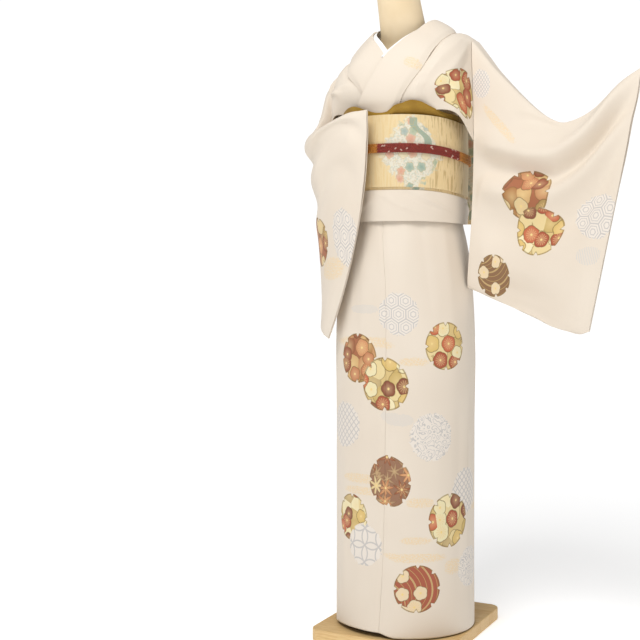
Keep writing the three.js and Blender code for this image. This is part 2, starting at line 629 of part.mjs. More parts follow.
// The form that the kimono is dressed on, from its rounded foot to the plain top of its neck. Each row has
// half its width and depth, and how far its middle is behind the axis.
const FORM = [
  { at: 560, wide: 66, deep: 56, back: 0 },
  { at: 570, wide: 102, deep: 88, back: 0 },
  { at: 600, wide: 120, deep: 104, back: 0 },
  { at: 700, wide: 126, deep: 110, back: 0 },
  { at: 800, wide: 114, deep: 101, back: 0 },
  { at: 884, wide: 111, deep: 98, back: 0 },
  { at: 896, wide: 113, deep: 100, back: 0 },
  { at: 904, wide: 124, deep: 112, back: -0.5 },
  { at: 918, wide: 124.4, deep: 111.9, back: -0.5 },
  { at: 1000, wide: 124.4, deep: 111.9, back: -0.5 },
  { at: 1012, wide: 121, deep: 109, back: -0.5 },
  { at: 1020, wide: 114, deep: 87, back: 1 },
  { at: 1060, wide: 112, deep: 87, back: 1 },
  { at: 1100, wide: 116, deep: 88, back: 1 },
  { at: 1135, wide: 110, deep: 80, back: 4 },
  { at: 1158, wide: 90, deep: 66, back: 9 },
  { at: 1178, wide: 70, deep: 55, back: 10 },
  { at: 1200, wide: 60, deep: 48, back: 8 },
  { at: 1225, wide: 50, deep: 46, back: -2 },
  { at: 1250, wide: 47, deep: 46, back: -12 },
  { at: 1303, wide: 43.5, deep: 44, back: -33 },
  { at: 1336, wide: 42, deep: 43, back: -45 },
  { at: 1342, wide: 38, deep: 39, back: -47 },
];
const FORM_STEPS = [
  560, 563, 570, 585, 600, 650, 700, 750, 800, 884, 896, 904, 918, 1000, 1012, 1020, 1060, 1100, 1120, 1135,
  1147, 1158, 1168, 1178, 1189, 1200, 1212, 1225, 1238, 1250, 1275, 1303, 1336, 1342,
];
const form = solid("dress_form", "form", FORM_STEPS.map((z) => {
  return Array.from({ length: 24 }, (_, i) => {
    const turn = (i / 24) * 360 * DEG;
    const y = along(FORM, "back", z) + along(FORM, "deep", z) * Math.sin(turn);
    return new THREE.Vector3(along(FORM, "wide", z) * Math.cos(turn), y, z);
  });
}));

// The stand: a pole from the form's foot to a square board with rounded corners
const POLE_RADIUS = 15;
const POLE_FOOT_Z = BASE_THICK + SEAM_GAP;
const POLE_TOP_Z = 560 - SEAM_GAP;
const BASE_HALF = 149; // of its width
const BASE_FRONT = 140; // the board reaches further behind the axis than before it
const BASE_BACK = 168;
const BASE_CORNER = 24;
const BASE_BEVEL = 2;

const poleLength = POLE_TOP_Z - POLE_FOOT_Z;
const pole = new THREE.Mesh(
  new THREE.CylinderGeometry(POLE_RADIUS, POLE_RADIUS, poleLength, 32),
  new THREE.MeshStandardMaterial(COLOURS.pole),
);
pole.name = "stand_pole";
pole.rotation.x = 90 * DEG;
pole.position.z = POLE_FOOT_Z + poleLength / 2;

const baseShape = new THREE.Shape();
for (const [turn, x, y] of [
  [0, BASE_HALF, BASE_BACK],
  [90, -BASE_HALF, BASE_BACK],
  [180, -BASE_HALF, -BASE_FRONT],
  [270, BASE_HALF, -BASE_FRONT],
]) {
  const centreX = x - Math.sign(x) * BASE_CORNER;
  const centreY = y - Math.sign(y) * BASE_CORNER;
  baseShape.absarc(centreX, centreY, BASE_CORNER - BASE_BEVEL, turn * DEG, (turn + 90) * DEG);
}
const baseGeometry = new THREE.ExtrudeGeometry(baseShape, {
  depth: BASE_THICK - 2 * BASE_BEVEL,
  bevelThickness: BASE_BEVEL,
  bevelSize: BASE_BEVEL,
  bevelSegments: 2,
  curveSegments: 6,
});
const base = new THREE.Mesh(baseGeometry, new THREE.MeshStandardMaterial(COLOURS.wood));
base.name = "stand_base";
base.position.z = BASE_BEVEL;

const kimono = new THREE.Group();
kimono.name = "homongi";
kimono.add(...skirtPanels, ohashori, ...obi, ...knot, sash, sashPad, cord);
kimono.add(...bodices, ...collars, ...strips, ...sleeves, form, pole, base);
export default kimono;
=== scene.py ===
"""The looks of a homongi kimono on a limbless form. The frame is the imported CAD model, in metres."""

import math

import bpy
import numpy as np
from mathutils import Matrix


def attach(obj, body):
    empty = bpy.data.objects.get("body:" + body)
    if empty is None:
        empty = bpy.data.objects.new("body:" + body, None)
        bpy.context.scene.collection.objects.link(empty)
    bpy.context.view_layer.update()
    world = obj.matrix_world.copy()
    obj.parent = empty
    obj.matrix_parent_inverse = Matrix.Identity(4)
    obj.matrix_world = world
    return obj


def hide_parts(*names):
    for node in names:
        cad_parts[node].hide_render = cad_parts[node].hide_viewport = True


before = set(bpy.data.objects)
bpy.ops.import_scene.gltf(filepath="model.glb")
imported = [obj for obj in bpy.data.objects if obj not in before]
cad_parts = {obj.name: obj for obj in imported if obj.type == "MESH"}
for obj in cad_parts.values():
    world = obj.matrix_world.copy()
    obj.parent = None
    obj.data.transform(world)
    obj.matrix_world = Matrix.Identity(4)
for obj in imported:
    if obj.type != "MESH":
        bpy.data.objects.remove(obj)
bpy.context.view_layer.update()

# The room: a pale floor that runs on to a white sky, a large soft light from the front and above, a weaker
# one from the right, and the camera to the wearer's left at the height of the hips.
VIEW_TURN, PHOTO_WIDTH = 25, 640
AXIS_X, AXIS_Y = 405, 268  # the photo's pixel that the lens points at
FLOOR_HALF, FLOOR_NEAR, FLOOR_FAR = 9, (0.43, 0.43, 0.43, 1), (0.9, 0.9, 0.9, 1)
SKY_LIGHT, SKY_SHINE = 0.35, 0.71
LIT_SPOT = np.array([0, 0, 0.8])
scene = bpy.context.scene
scene.view_settings.view_transform = "Standard"
lens = bpy.data.cameras.new("camera")
lens.sensor_width, lens.lens = 36, 61.26
lens.shift_x = (PHOTO_WIDTH / 2 - AXIS_X) / PHOTO_WIDTH
lens.shift_y = (AXIS_Y - PHOTO_WIDTH / 2) / PHOTO_WIDTH
camera = bpy.data.objects.new("camera", lens)
camera.location = (0.9509, -2.0392, 0.749)
camera.rotation_euler = (math.radians(90), 0, math.radians(VIEW_TURN))
scene.collection.objects.link(camera)
scene.camera = camera

for name, place, size, power in [
    ("key_light", (0.0, -2.0, 3.4), 1.6, 72),
    ("side_light", (2.4, -1.2, 2.6), 1.6, 8),
]:
    light = bpy.data.lights.new(name, "AREA")
    light.size, light.energy = size, power
    lamp = bpy.data.objects.new(name, light)
    lamp.location = place
    way = LIT_SPOT - np.array(place)
    lamp.rotation_euler = (
        math.acos(-way[2] / np.linalg.norm(way)),
        0,
        math.atan2(way[1], way[0]) - math.pi / 2,
    )
    scene.collection.objects.link(lamp)


def dye(red, green, blue):
    """A colour given as it looks on a screen, from 0 to 255, for a shader's socket."""
    return (*[c / 12.92 if c < 0.04045 else ((c + 0.055) / 1.055) ** 2.4
              for c in (red / 255, green / 255, blue / 255)], 1)


class Paint:
    """One socket of a material's nodes, which takes part in sums as a number does."""

    def __init__(self, tree, socket=None):
        self.tree, self.socket = tree, socket

    def node(self, kind, settings, sockets, out=0):
        """An output of a new node, made with these settings and with its sockets' values or links."""
        made = self.tree.nodes.new(kind)
        for name, value in settings.items():
            if name == "stops":
                ends = made.color_ramp.elements
                ends[0].position, ends[0].color = value[0]
                ends[1].position, ends[1].color = value[-1]
                for place, colour in value[1:-1]:
                    ends.new(place).color = colour
                made.color_ramp.interpolation = "CONSTANT"
            else:
                setattr(made, name, value)
        for name, value in sockets.items():
            if isinstance(value, Paint):
                self.tree.links.new(value.socket, made.inputs[name])
            else:
                made.inputs[name].default_value = value
        return Paint(self.tree, made.outputs[out])

    def sum(self, operation, *values):
        return self.node("ShaderNodeMath", {"operation": operation}, dict(enumerate(values)))

    def __add__(self, other):
        return self.sum("ADD", self, other)

    def __sub__(self, other):
        return self.sum("SUBTRACT", self, other)

    def __rsub__(self, other):
        return self.sum("SUBTRACT", other, self)

    def __mul__(self, other):
        return self.sum("MULTIPLY", self, other)

    def __truediv__(self, other):
        return self.sum("DIVIDE", self, other)

    def __pow__(self, other):
        return self.sum("POWER", self, other)

    def __mod__(self, other):
        return self.sum("FLOORED_MODULO", self, other)

    def __lt__(self, other):
        return self.sum("LESS_THAN", self, other)

    def __gt__(self, other):
        return self.sum("GREATER_THAN", self, other)

    def __abs__(self):
        return self.sum("ABSOLUTE", self)

    __radd__, __rmul__ = __add__, __mul__

    def wave(self):
        return self.sum("SINE", self)

    def whole(self):
        return self.sum("FLOOR", self)

    def parts(self):
        """The three numbers of a vector or a colour."""
        split = self.node("ShaderNodeSeparateXYZ", {}, {0: self})
        return [Paint(self.tree, out) for out in split.socket.node.outputs]

    def over(self, below, above):
        """The colour below where this mask is 0, and the one above where it is 1."""
        return self.node("ShaderNodeMix", {"data_type": "RGBA"}, {0: self, 6: below, 7: above}, 2)

    def ease(self, low, high):
        """From 0 to 1, smoothly, as this goes from low to high."""
        settings = {"interpolation_type": "SMOOTHSTEP"}
        return self.node("ShaderNodeMapRange", settings, {0: self, 1: low, 2: high})

    def noise(self, scale, detail=2.0, stretch=(1, 1, 1)):
        """Cloudy noise over this vector, from 0 to 1."""
        place = self.node("ShaderNodeMapping", {}, {"Vector": self, "Scale": stretch})
        return self.node("ShaderNodeTexNoise", {}, {"Vector": place, "Scale": scale, "Detail": detail})

    def relief(self, strength, distance):
        """The surface's normal with this height laid on it."""
        return self.node("ShaderNodeBump", {}, {"Height": self, "Strength": strength, "Distance": distance})

    def read(self, name):
        """A vector of the piece: its own place, its flat cut's UV map, or an attribute of this name."""
        if name == "Object":
            return self.node("ShaderNodeTexCoord", {}, {}, name)
        if name == "cloth":
            return self.node("ShaderNodeUVMap", {"uv_map": name}, {})
        return self.node("ShaderNodeAttribute", {"attribute_name": name}, {}, "Vector")

    def among(self, dyes):
        """One of these dyes, each picked from the number where it starts up to the next one's."""
        stops = [(start, dye(*colour)) for start, *colour in dyes]
        return self.node("ShaderNodeValToRGB", {"stops": stops}, {0: self})


def finish(name, **fixed):
    """A new material, a start for its nodes and its shader, with the shader's fixed values set."""
    material = bpy.data.materials.new(name)
    material.use_nodes = True
    shader = material.node_tree.nodes["Principled BSDF"]
    for socket, value in fixed.items():
        shader.inputs[socket.replace("_", " ")].default_value = value
    return material, Paint(material.node_tree), shader


def feed(shader, **varying):
    """Links what changes over a surface to the shader's sockets."""
    for socket, value in varying.items():
        value.tree.links.new(value.socket, shader.inputs[socket.replace("_", " ")])


sky = bpy.data.worlds.new("sky")
sky.use_nodes = True
sky_start = Paint(sky.node_tree)
seen = sky_start.node("ShaderNodeLightPath", {}, {}, "Is Camera Ray")
feed(sky.node_tree.nodes["Background"], Strength=seen * SKY_SHINE + SKY_LIGHT)
sky.node_tree.nodes["Background"].inputs["Color"].default_value = (1, 1, 1, 1)
scene.world = sky

floor_finish, floor_start, floor_shader = finish("floor", Roughness=0.8, Specular_IOR_Level=0.1,
                                                  Emission_Strength=1.0)
floor_spot = floor_start.read("Object")
away = floor_spot.node("ShaderNodeVectorMath", {"operation": "LENGTH"}, {0: floor_spot}, "Value")
feed(floor_shader, Base_Color=floor_spot.noise(3.0).over(dye(250, 250, 250), dye(253, 253, 253)))
feed(floor_shader, Emission_Color=away.ease(0.6, 5.0).over(FLOOR_NEAR, FLOOR_FAR))
floor_mesh = bpy.data.meshes.new("floor")
floor_corners = [(x * FLOOR_HALF, y * FLOOR_HALF, 0) for x, y in ((-1, -1), (1, -1), (1, 1), (-1, 1))]
floor_mesh.from_pydata(floor_corners, [], [(0, 1, 2, 3)])
floor_mesh.materials.append(floor_finish)
floor = bpy.data.objects.new("floor", floor_mesh)
scene.collection.objects.link(floor)

# The board: a square of light laminated wood with rounded corners, under a satin varnish. Its strips run
# from side to side and the grain with them.
STRIP_WIDE = 0.024
wood, start, shader = finish("wood", Coat_Roughness=0.3, Specular_IOR_Level=0.4)
place = start.read("Object")
x, y, z = place.parts()
strip = (y / STRIP_WIDE).whole()
bent = place.node("ShaderNodeCombineXYZ", {}, {0: x * 0.9 + strip * 0.37, 1: y, 2: z})
grain = bent.noise(60, 4, (0.6, 9, 9))
pores = bent.noise(420, 3, (0.12, 4, 4))
tone = strip.node("ShaderNodeTexWhiteNoise", {"noise_dimensions": "1D"}, {"W": strip})
ground = grain.ease(0.3, 0.75).over(dye(226, 192, 136), dye(205, 165, 105))
ground = (tone * 0.35).over(ground, dye(232, 204, 154))
ground = (pores.ease(0.56, 0.72) * 0.35).over(ground, dye(168, 122, 70))
joint = (abs((y / STRIP_WIDE) % 1 - 0.5) > 0.485) * 0.3
feed(shader, Base_Color=joint.over(ground, dye(150, 110, 66)), Roughness=0.38 + grain * 0.2)
feed(shader, Normal=(pores + joint * -2).relief(0.12, 0.0004))


def coat(node, material):
    """Gives a CAD solid that shows as it is its finish."""
    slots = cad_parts[node].data.materials
    slots.clear()
    slots.append(material)


coat("stand_base", wood)

# The pole: a brushed steel tube that carries the form, screwed to the board. It stands hidden inside the
# skirt.
steel, start, shader = finish("brushed_steel", Metallic=1.0, Anisotropic=0.4)
brushed = start.read("Object").noise(900, 2, (1, 1, 0.02))
feed(shader, Base_Color=brushed.over(dye(178, 178, 180), dye(214, 214, 214)))
feed(shader, Roughness=0.26 + brushed * 0.16, Normal=brushed.relief(0.06, 0.0002))
coat("stand_pole", steel)

# The dress form: a moulded body in smooth, matt, warm beige, from its rounded foot to the plain top of its
# neck. Each row is a height in millimetres with half the width, half the depth and how far back it stands.
FORM = [
    (560, 66, 56, 0), (570, 102, 88, 0), (600, 120, 104, 0), (700, 126, 110, 0), (800, 114, 101, 0),
    (884, 111, 98, 0), (896, 113, 100, 0), (904, 124, 112, -0.5), (918, 124.4, 111.9, -0.5),
    (1000, 124.4, 111.9, -0.5), (1012, 121, 109, -0.5), (1020, 114, 87, 1), (1060, 112, 87, 1),
    (1100, 116, 88, 1), (1135, 110, 80, 4), (1158, 90, 66, 9), (1178, 70, 55, 10), (1200, 60, 48, 8),
    (1225, 50, 46, -2), (1250, 47, 46, -12), (1303, 43.5, 44, -33), (1336, 42, 43, -45),
    (1342, 38, 39, -47),
]


def through(at, values, t):
    """The smooth curve that passes values[k] at at[k], read at each t. It is level past its ends."""
    t = np.atleast_1d(np.asarray(t, float))
    order = np.arange(len(at))
    low, high = np.maximum(order - 1, 0), np.minimum(order + 1, len(at) - 1)
    slopes = (values[high] - values[low]) / (at[high] - at[low])[:, None, None]
    k = np.clip(np.searchsorted(at, t, side="right") - 1, 0, len(at) - 2)
    own = np.arange(len(t)) if values.shape[1] > 1 else 0
    span = (at[k + 1] - at[k])[:, None]
    s = np.clip((t - at[k])[:, None] / span, 0, 1)
    return (
        (2 * s**3 - 3 * s**2 + 1) * values[k, own]
        + (s**3 - 2 * s**2 + s) * span * slopes[k, own]
        + (3 * s**2 - 2 * s**3) * values[k + 1, own]
        + (s**3 - s**2) * span * slopes[k + 1, own]
    )


def along(rows, t):
    """The smooth values of a table at t, its first column being the place."""
    rows = np.asarray(rows, float)
    return through(rows[:, 0], rows[:, None, 1:], t)


def placed(mesh, material, slot, *nodes):
    """A finished piece of the object, named as its mesh, standing for CAD nodes and riding with them."""
    mesh.materials.append(material)
    piece = bpy.data.objects.new(mesh.name, mesh)
    scene.collection.objects.link(piece)
    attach(piece, "root")
    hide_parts(*nodes)
    return piece


def lofted(name, rings, closed=False):
    """A smooth mesh through rings of points in millimetres, closed on itself or ending in a point."""
    count, size = rings.shape[:2]
    spans, around = np.meshgrid(np.arange(count if closed else count - 1), np.arange(size), indexing="ij")
    after, beside = (spans + 1) % count, (around + 1) % size
    faces = np.stack(
        [spans * size + around, spans * size + beside, after * size + beside, after * size + around], -1
    ).reshape(-1, 4)
    mesh = bpy.data.meshes.new(name)
    faces = faces.tolist()
    points = rings.reshape(-1, 3) / 1000
    if not closed:
        points = np.vstack([points, rings[0].mean(0) / 1000, rings[-1].mean(0) / 1000])
        last = (count - 1) * size
        for i in range(size):
            faces.append([len(points) - 2, (i + 1) % size, i])
            faces.append([len(points) - 1, last + i, last + (i + 1) % size])
    mesh.from_pydata(points.tolist(), [], faces)
    corners = [points[f] for f in faces]
    if sum(np.dot(c[0], np.cross(c[k], c[k + 1])) for c in corners for k in range(1, len(c) - 1)) < 0:
        mesh.flip_normals()
    mesh.shade_smooth()
    return mesh


FORM_FOOT, NECK_RIM, NECK_TOP, FORM_SIDES = FORM[0][0], FORM[-2][0], FORM[-1][0], 72
heights = np.concatenate([np.linspace(FORM_FOOT, NECK_RIM, 110), np.linspace(NECK_RIM + 1, NECK_TOP, 5)])
wide, deep, back = along(FORM, heights).T
around = np.linspace(0, 2 * np.pi, FORM_SIDES, endpoint=False)
rings = np.stack([
    wide[:, None] * np.cos(around),
    back[:, None] + deep[:, None] * np.sin(around),
    np.repeat(heights[:, None], FORM_SIDES, 1),
], -1)
crowns = [rings[-1] * (s, s, 1) + (0, (1 - s) * back[-1], rise) for s, rise in ((0.8, 0.5), (0.4, 0.7))]
soles = [rings[0] * (s, s, 1) for s in (0.3, 0.7)]
rings = np.concatenate([np.stack(soles), rings, np.stack(crowns)])
skin_finish, start, shader = finish("form_skin", Specular_IOR_Level=0.3)
place = start.read("Object")
mottle = place.noise(14, 3)
pits = place.noise(700, 2)
feed(shader, Base_Color=mottle.ease(0.3, 0.7).over(dye(232, 209, 170), dye(238, 217, 182)))
feed(shader, Roughness=0.5 + pits * 0.12, Normal=pits.relief(0.08, 0.0003))
placed(lofted("form_body", rings), skin_finish, "form", "dress_form")

# The kimono's silk: cream crepe, dyed and gilded with roundels. Snow rings hold flowers, maple leaves and
# grasses in rust, coral, ochre and brown, and silver ones hold lattices. Between them lie bands of haze, in
# gold flecks or pale hatching. Each face knows its two nearest roundels and its nearest band.
silk, start, shader = finish("silk", Specular_IOR_Level=0.22, Sheen_Weight=0.12, Sheen_Roughness=0.5)
cloth_place = start.read("cloth")
top = start.read("roundel")
under = start.read("roundel_under")


def ring_edge(x, y):
    """How far out a snow ring reaches, with its eight small bites."""
    bite = 1 - 3.2 * abs((y.sum("ARCTAN2", y, x) * 4).wave())
    return 0.99 - 0.13 * bite.sum("MAXIMUM", bite, 0) ** 0.6


def radius(x, y):
    return (x * x + y * y) ** 0.5


top_x, top_y, _ = top.parts()
on_top = radius(top_x, top_y) < ring_edge(top_x, top_y)
inner = on_top.node("ShaderNodeMix", {"data_type": "VECTOR"}, {0: on_top, 4: under, 5: top}, 1)
x, y, code = inner.parts()
kind = code.whole()
seed = code - kind
out = radius(x, y)
edge = ring_edge(x, y)
dyed = (kind > 0.5) * (kind < 9.5) * (out < edge)

# Blossoms, one to each cell of a loose net, laid in two layers over the ring's ground
maple = (kind > 4.5) * (kind < 5.5)
grassy = (kind > 3.5) * (kind < 4.5) + (kind > 8.5)
golden = (kind > 2.5) * (kind < 3.5)


def net(spot, scale, looseness):
    """A net of cells: how far each spot lies from its cell's middle and which way, and two chances."""
    sockets = {"Vector": spot, "Scale": scale, "Randomness": looseness}
    cell = spot.node("ShaderNodeTexVoronoi", {"voronoi_dimensions": "2D"}, sockets)
    middle, colour = (Paint(cell.tree, cell.socket.node.outputs[name]) for name in ("Position", "Color"))
    off = spot.node("ShaderNodeVectorMath", {"operation": "SUBTRACT"}, {0: spot, 1: middle})
    off_x, off_y, _ = off.parts()
    chance, size, _ = colour.parts()
    return cell, off_y.sum("ARCTAN2", off_y, off_x), chance, size


def blossoms(scale, shift, fullness):
    """A layer of blossoms: where they are, their outlines, rays and hearts, two chances and how far out."""
    spot_x, spot_y = x * scale + seed * shift, y * scale + seed * (shift - 24)
    spot = x.node("ShaderNodeCombineXYZ", {}, {0: spot_x, 1: spot_y})
    cell, turn, chance, size = net(spot, 1, 0.8)
    petal = fullness + size * 0.12 + 0.05 * abs((turn * 2.5).wave())
    star = 0.18 + 0.42 * (1 - abs((turn * 3.5 + size * 5).wave())) ** 0.9
    reach = petal + (star - petal) * maple
    rays = (abs((turn * 7).wave()) < 0.35) * (cell > 0.1) * (cell < 0.34) * (size > 0.4)
    return cell < reach, abs(cell - reach) < 0.024, rays, cell < 0.07, chance, size, cell / reach


# Dyes, each with the number that it starts from
GROUNDS = [
    (0.0, 166, 104, 72), (0.25, 212, 186, 128), (0.35, 140, 106, 76), (0.45, 150, 112, 88),
    (0.85, 166, 92, 70),
]
TONES = [(0.0, 150, 86, 58), (0.3, 190, 134, 92), (0.62, 206, 166, 112), (0.82, 164, 112, 66)]
PALE_TONES = [(0.0, 224, 204, 152), (0.35, 196, 168, 104), (0.6, 236, 224, 184), (0.85, 186, 162, 116)]
PETALS = [
    (0.0, 188, 122, 84), (0.26, 142, 72, 50), (0.5, 218, 196, 148), (0.72, 204, 142, 98),
    (0.88, 170, 140, 84),
]
PALE_PETALS = [
    (0.0, 164, 72, 52), (0.24, 230, 220, 178), (0.44, 128, 66, 50), (0.6, 214, 184, 112),
    (0.8, 190, 96, 66),
]


def picked(chance, warm, pale):
    """A dye picked by chance, from one row of dyes or, in a gold ring, from the other."""
    return golden.over(chance.among(warm), chance.among(pale))


ground = (kind / 10).among(GROUNDS)
fan_x, fan_y = x + 0.45, y + 1.15
fan = (fan_x.sum("ARCTAN2", fan_x, fan_y) + radius(fan_x, fan_y) ** 2 * 0.22) * 4.6 + seed * 7
blade = abs(fan % 1 - 0.5)
picture = ((blade < 0.16) * grassy * (abs(fan % 3 - 1.5) < 0.5) * 0.8).over(ground, dye(206, 178, 126))
picture = ((blade < 0.05) * grassy).over(picture, dye(190, 160, 104))
lower, lower_line, _, _, lower_chance, _, lower_far = blossoms(1.5, 53, 0.5)
plain = 1 - grassy
picture = (lower * plain * (1 - maple)).over(picture, picked(lower_chance, TONES, PALE_TONES))
picture = ((1 - lower_far) * lower * plain * 0.5).over(picture, dye(232, 206, 150))
picture = (lower_line * plain * 0.55).over(picture, dye(124, 96, 58))
flower, line, rays, heart, chance, size, far = blossoms(1.42, 61, 0.36)
shown = (chance > 0.08) * (1 - grassy * (size > 0.45))
small = flower * shown
petal = picked(chance, PETALS, PALE_PETALS)
picture = small.over(picture, grassy.over(petal, dye(226, 206, 172)))
picture = (small * (1 - far) * 0.4).over(picture, dye(238, 206, 156))
picture = (rays * small * 0.6).over(picture, dye(226, 190, 128))
picture = (line * shown * 0.7).over(picture, dye(120, 92, 54))
picture = (heart * shown).over(picture, dye(232, 206, 140))
brim = (out > edge - 0.055) * (1 - maple * 0.6)
picture = (brim * 0.62).over(picture, dye(132, 108, 64))

# Silver roundels: tortoiseshell hexagons, linked rings, crossed bars or a winding vine
row = 3**0.5
hex_x, hex_y = x * 1.5, y * 1.5
even_x, even_y = hex_x % 1 - 0.5, hex_y % row - row / 2
odd_x, odd_y = (hex_x - 0.5) % 1 - 0.5, (hex_y - row / 2) % row - row / 2
nearer = radius(even_x, even_y) < radius(odd_x, odd_y)
cell_x = abs(odd_x + (even_x - odd_x) * nearer)
cell_y = abs(odd_y + (even_y - odd_y) * nearer)
wall = cell_x.sum("MAXIMUM", cell_x, cell_x * 0.5 + cell_y * 0.866)
hexagons = (wall > 0.46) + (abs(wall - 0.34) < 0.026) + (abs(wall - 0.17) < 0.03)
RING_RADIUS = 0.7071
ring_x, ring_y = abs((x * 1.3) % 1 - 0.5), abs((y * 1.3) % 1 - 0.5)
linked = (abs(radius(1 - ring_x, ring_y) - RING_RADIUS) < 0.045) + (
    abs(radius(ring_x, 1 - ring_y) - RING_RADIUS) < 0.045)
bars = (abs(((x + y) * 3.4) % 1 - 0.5) < 0.12) + (abs(((x - y) * 3.4) % 1 - 0.5) < 0.12)
vine_place = x.node("ShaderNodeCombineXYZ", {}, {0: x, 1: y, 2: seed * 9})
vine = abs(vine_place.noise(3.0, 1) % 0.13 - 0.065) < 0.019
silver_line = (
    hexagons * (kind < 11.5)
    + linked * (kind > 11.5) * (kind < 12.5)
    + bars * (kind > 12.5) * (kind < 13.5)
    + vine * (kind > 13.5)
)
worn = cloth_place.noise(180, 2)
silvered = (kind > 9.5) * (out + worn * 0.3 < 1.08)
silver = silvered * silver_line.sum("MINIMUM", silver_line, 1)

# Haze: flecks of gold leaf, or fine pale hatching, in long bands with ragged ends
haze_x, haze_y, hue = start.read("haze").parts()
flecks = cloth_place.noise(330, 3, (1, 1.6, 1))
body = 1 - (haze_x * haze_x) ** 1.5 - haze_y * haze_y + (worn - 0.5) * 0.9
hatch = abs((haze_y * 7) % 1 - 0.5) < 0.2
gold_haze = body.ease(0.0, 0.5) * (hue > 0.5) * (hue < 1.5) * flecks.ease(0.42, 0.56)
pale_haze = (body > 0.1) * (hue > 1.5) * hatch

cloud = cloth_place.noise(5, 2).ease(0.3, 0.7)
crepe = cloth_place.noise(1500, 2, (1, 0.55, 1))
silk_ground = cloud.over(dye(224, 211, 194), dye(229, 217, 201))
silk_ground = (crepe.ease(0.35, 0.65) * 0.1).over(silk_ground, dye(204, 190, 172))
colour = (gold_haze * 0.6).over(silk_ground, dye(232, 200, 142))
colour = (pale_haze * 0.6).over(colour, dye(196, 198, 200))
colour = (silvered * 0.45).over(colour, dye(233, 228, 222))
colour = (silver * 0.62).over(colour, dye(176, 172, 171))
colour = dyed.over(colour, picture)
gilt = dyed * (line * shown + brim).sum("MINIMUM", line * shown + brim, 1)
feed(shader, Base_Color=colour, Roughness=0.66 - gilt * 0.24 - silver * 0.2 - gold_haze * 0.15)
feed(shader, Normal=(crepe + dyed * 0.5 + gilt + silver * 1.2).relief(0.22, 0.00025))


def clamp(t):
    return np.clip(t, 0, 1)


def ease(t):
    return clamp(t) ** 2 * (3 - 2 * clamp(t))


def hump(x, centre, width):
    return np.exp(-(((x - centre) / width) ** 2))


def normals(skin, u, v, closed=False):
    """The way out of a skin at each place, in unit vectors."""
    step = 1e-3
    low = u - step if closed else np.maximum(u - step, 0)
    high = u + step if closed else np.minimum(u + step, 1)
    across = skin(high, v) - skin(low, v)
    down = skin(u, np.minimum(v + step, 1)) - skin(u, np.maximum(v - step, 0))
    out = np.cross(across, down)
    return out / np.linalg.norm(out, axis=1)[:, None]


def creased(skin, creases, side=1, closed=False):
    """A skin with soft troughs and ridges pressed in, as listed. Each runs from (u, v) to (u, v), bows
    sideways by `bow`, is `half` wide each way and `high` millimetres proud, or deep where negative."""
    def pressed(u, v):
        lift = np.zeros(len(u))
        for u0, v0, u1, v1, bow, half, high in creases:
            span = np.array([u1 - u0, v1 - v0])
            length = np.hypot(*span)
            way = span / length
            s = ((u - u0) * way[0] + (v - v0) * way[1]) / length
            off = (u - u0) * -way[1] + (v - v0) * way[0] - bow * 4 * s * (1 - s)
            lift += high * np.exp(-((off / half) ** 2)) * ease(s / 0.3 + 0.15) * ease((1 - s) / 0.3 + 0.15)
        return skin(u, v) + normals(skin, u, v, closed) * (lift * side)[:, None]
    return pressed


def stamped(flat, rows, shown):
    """Where each corner of each face lies in its nearest patch and in the next one, with their codes. A row
    is a patch's middle, its half sizes, its code and, if it has one, its slant."""
    centre = flat.mean(1)
    local = np.full((len(flat), 4, 3), (9.0, 9.0, 0.0))
    under = local.copy()
    if len(rows):
        rows = np.array([(*row, 0.0)[:6] for row in rows], float)
        down = centre[:, None, 1] - rows[:, 1]
        across = centre[:, None, 0] - rows[:, 0] - rows[:, 5] * down
        away = np.hypot(across / rows[:, 2], down / rows[:, 3])
        order = np.argsort(away + (shown == 0)[:, None] * 99, axis=1, kind="stable")
        for target, rank in ((local, 0), (under, 1)):
            if rank < len(rows):
                near = rows[order[:, rank]]
                offset = flat - near[:, None, :2]
                offset[:, :, 0] -= near[:, None, 5] * offset[:, :, 1]
                target[:, :, :2] = offset / near[:, None, 2:4]
                target[:, :, 2] = near[:, None, 4]
        if len(rows) > 1:
            first = order[:, 0] < order[:, 1]
            overlap = np.take_along_axis(away, order[:, 1:2], 1)[:, 0] < 1.12
            swap = first & overlap
            local[swap], under[swap] = under[swap].copy(), local[swap].copy()
        local[shown == 0] = under[shown == 0] = (9, 9, 0)
    return local, under


SILK_THICK = 1.6


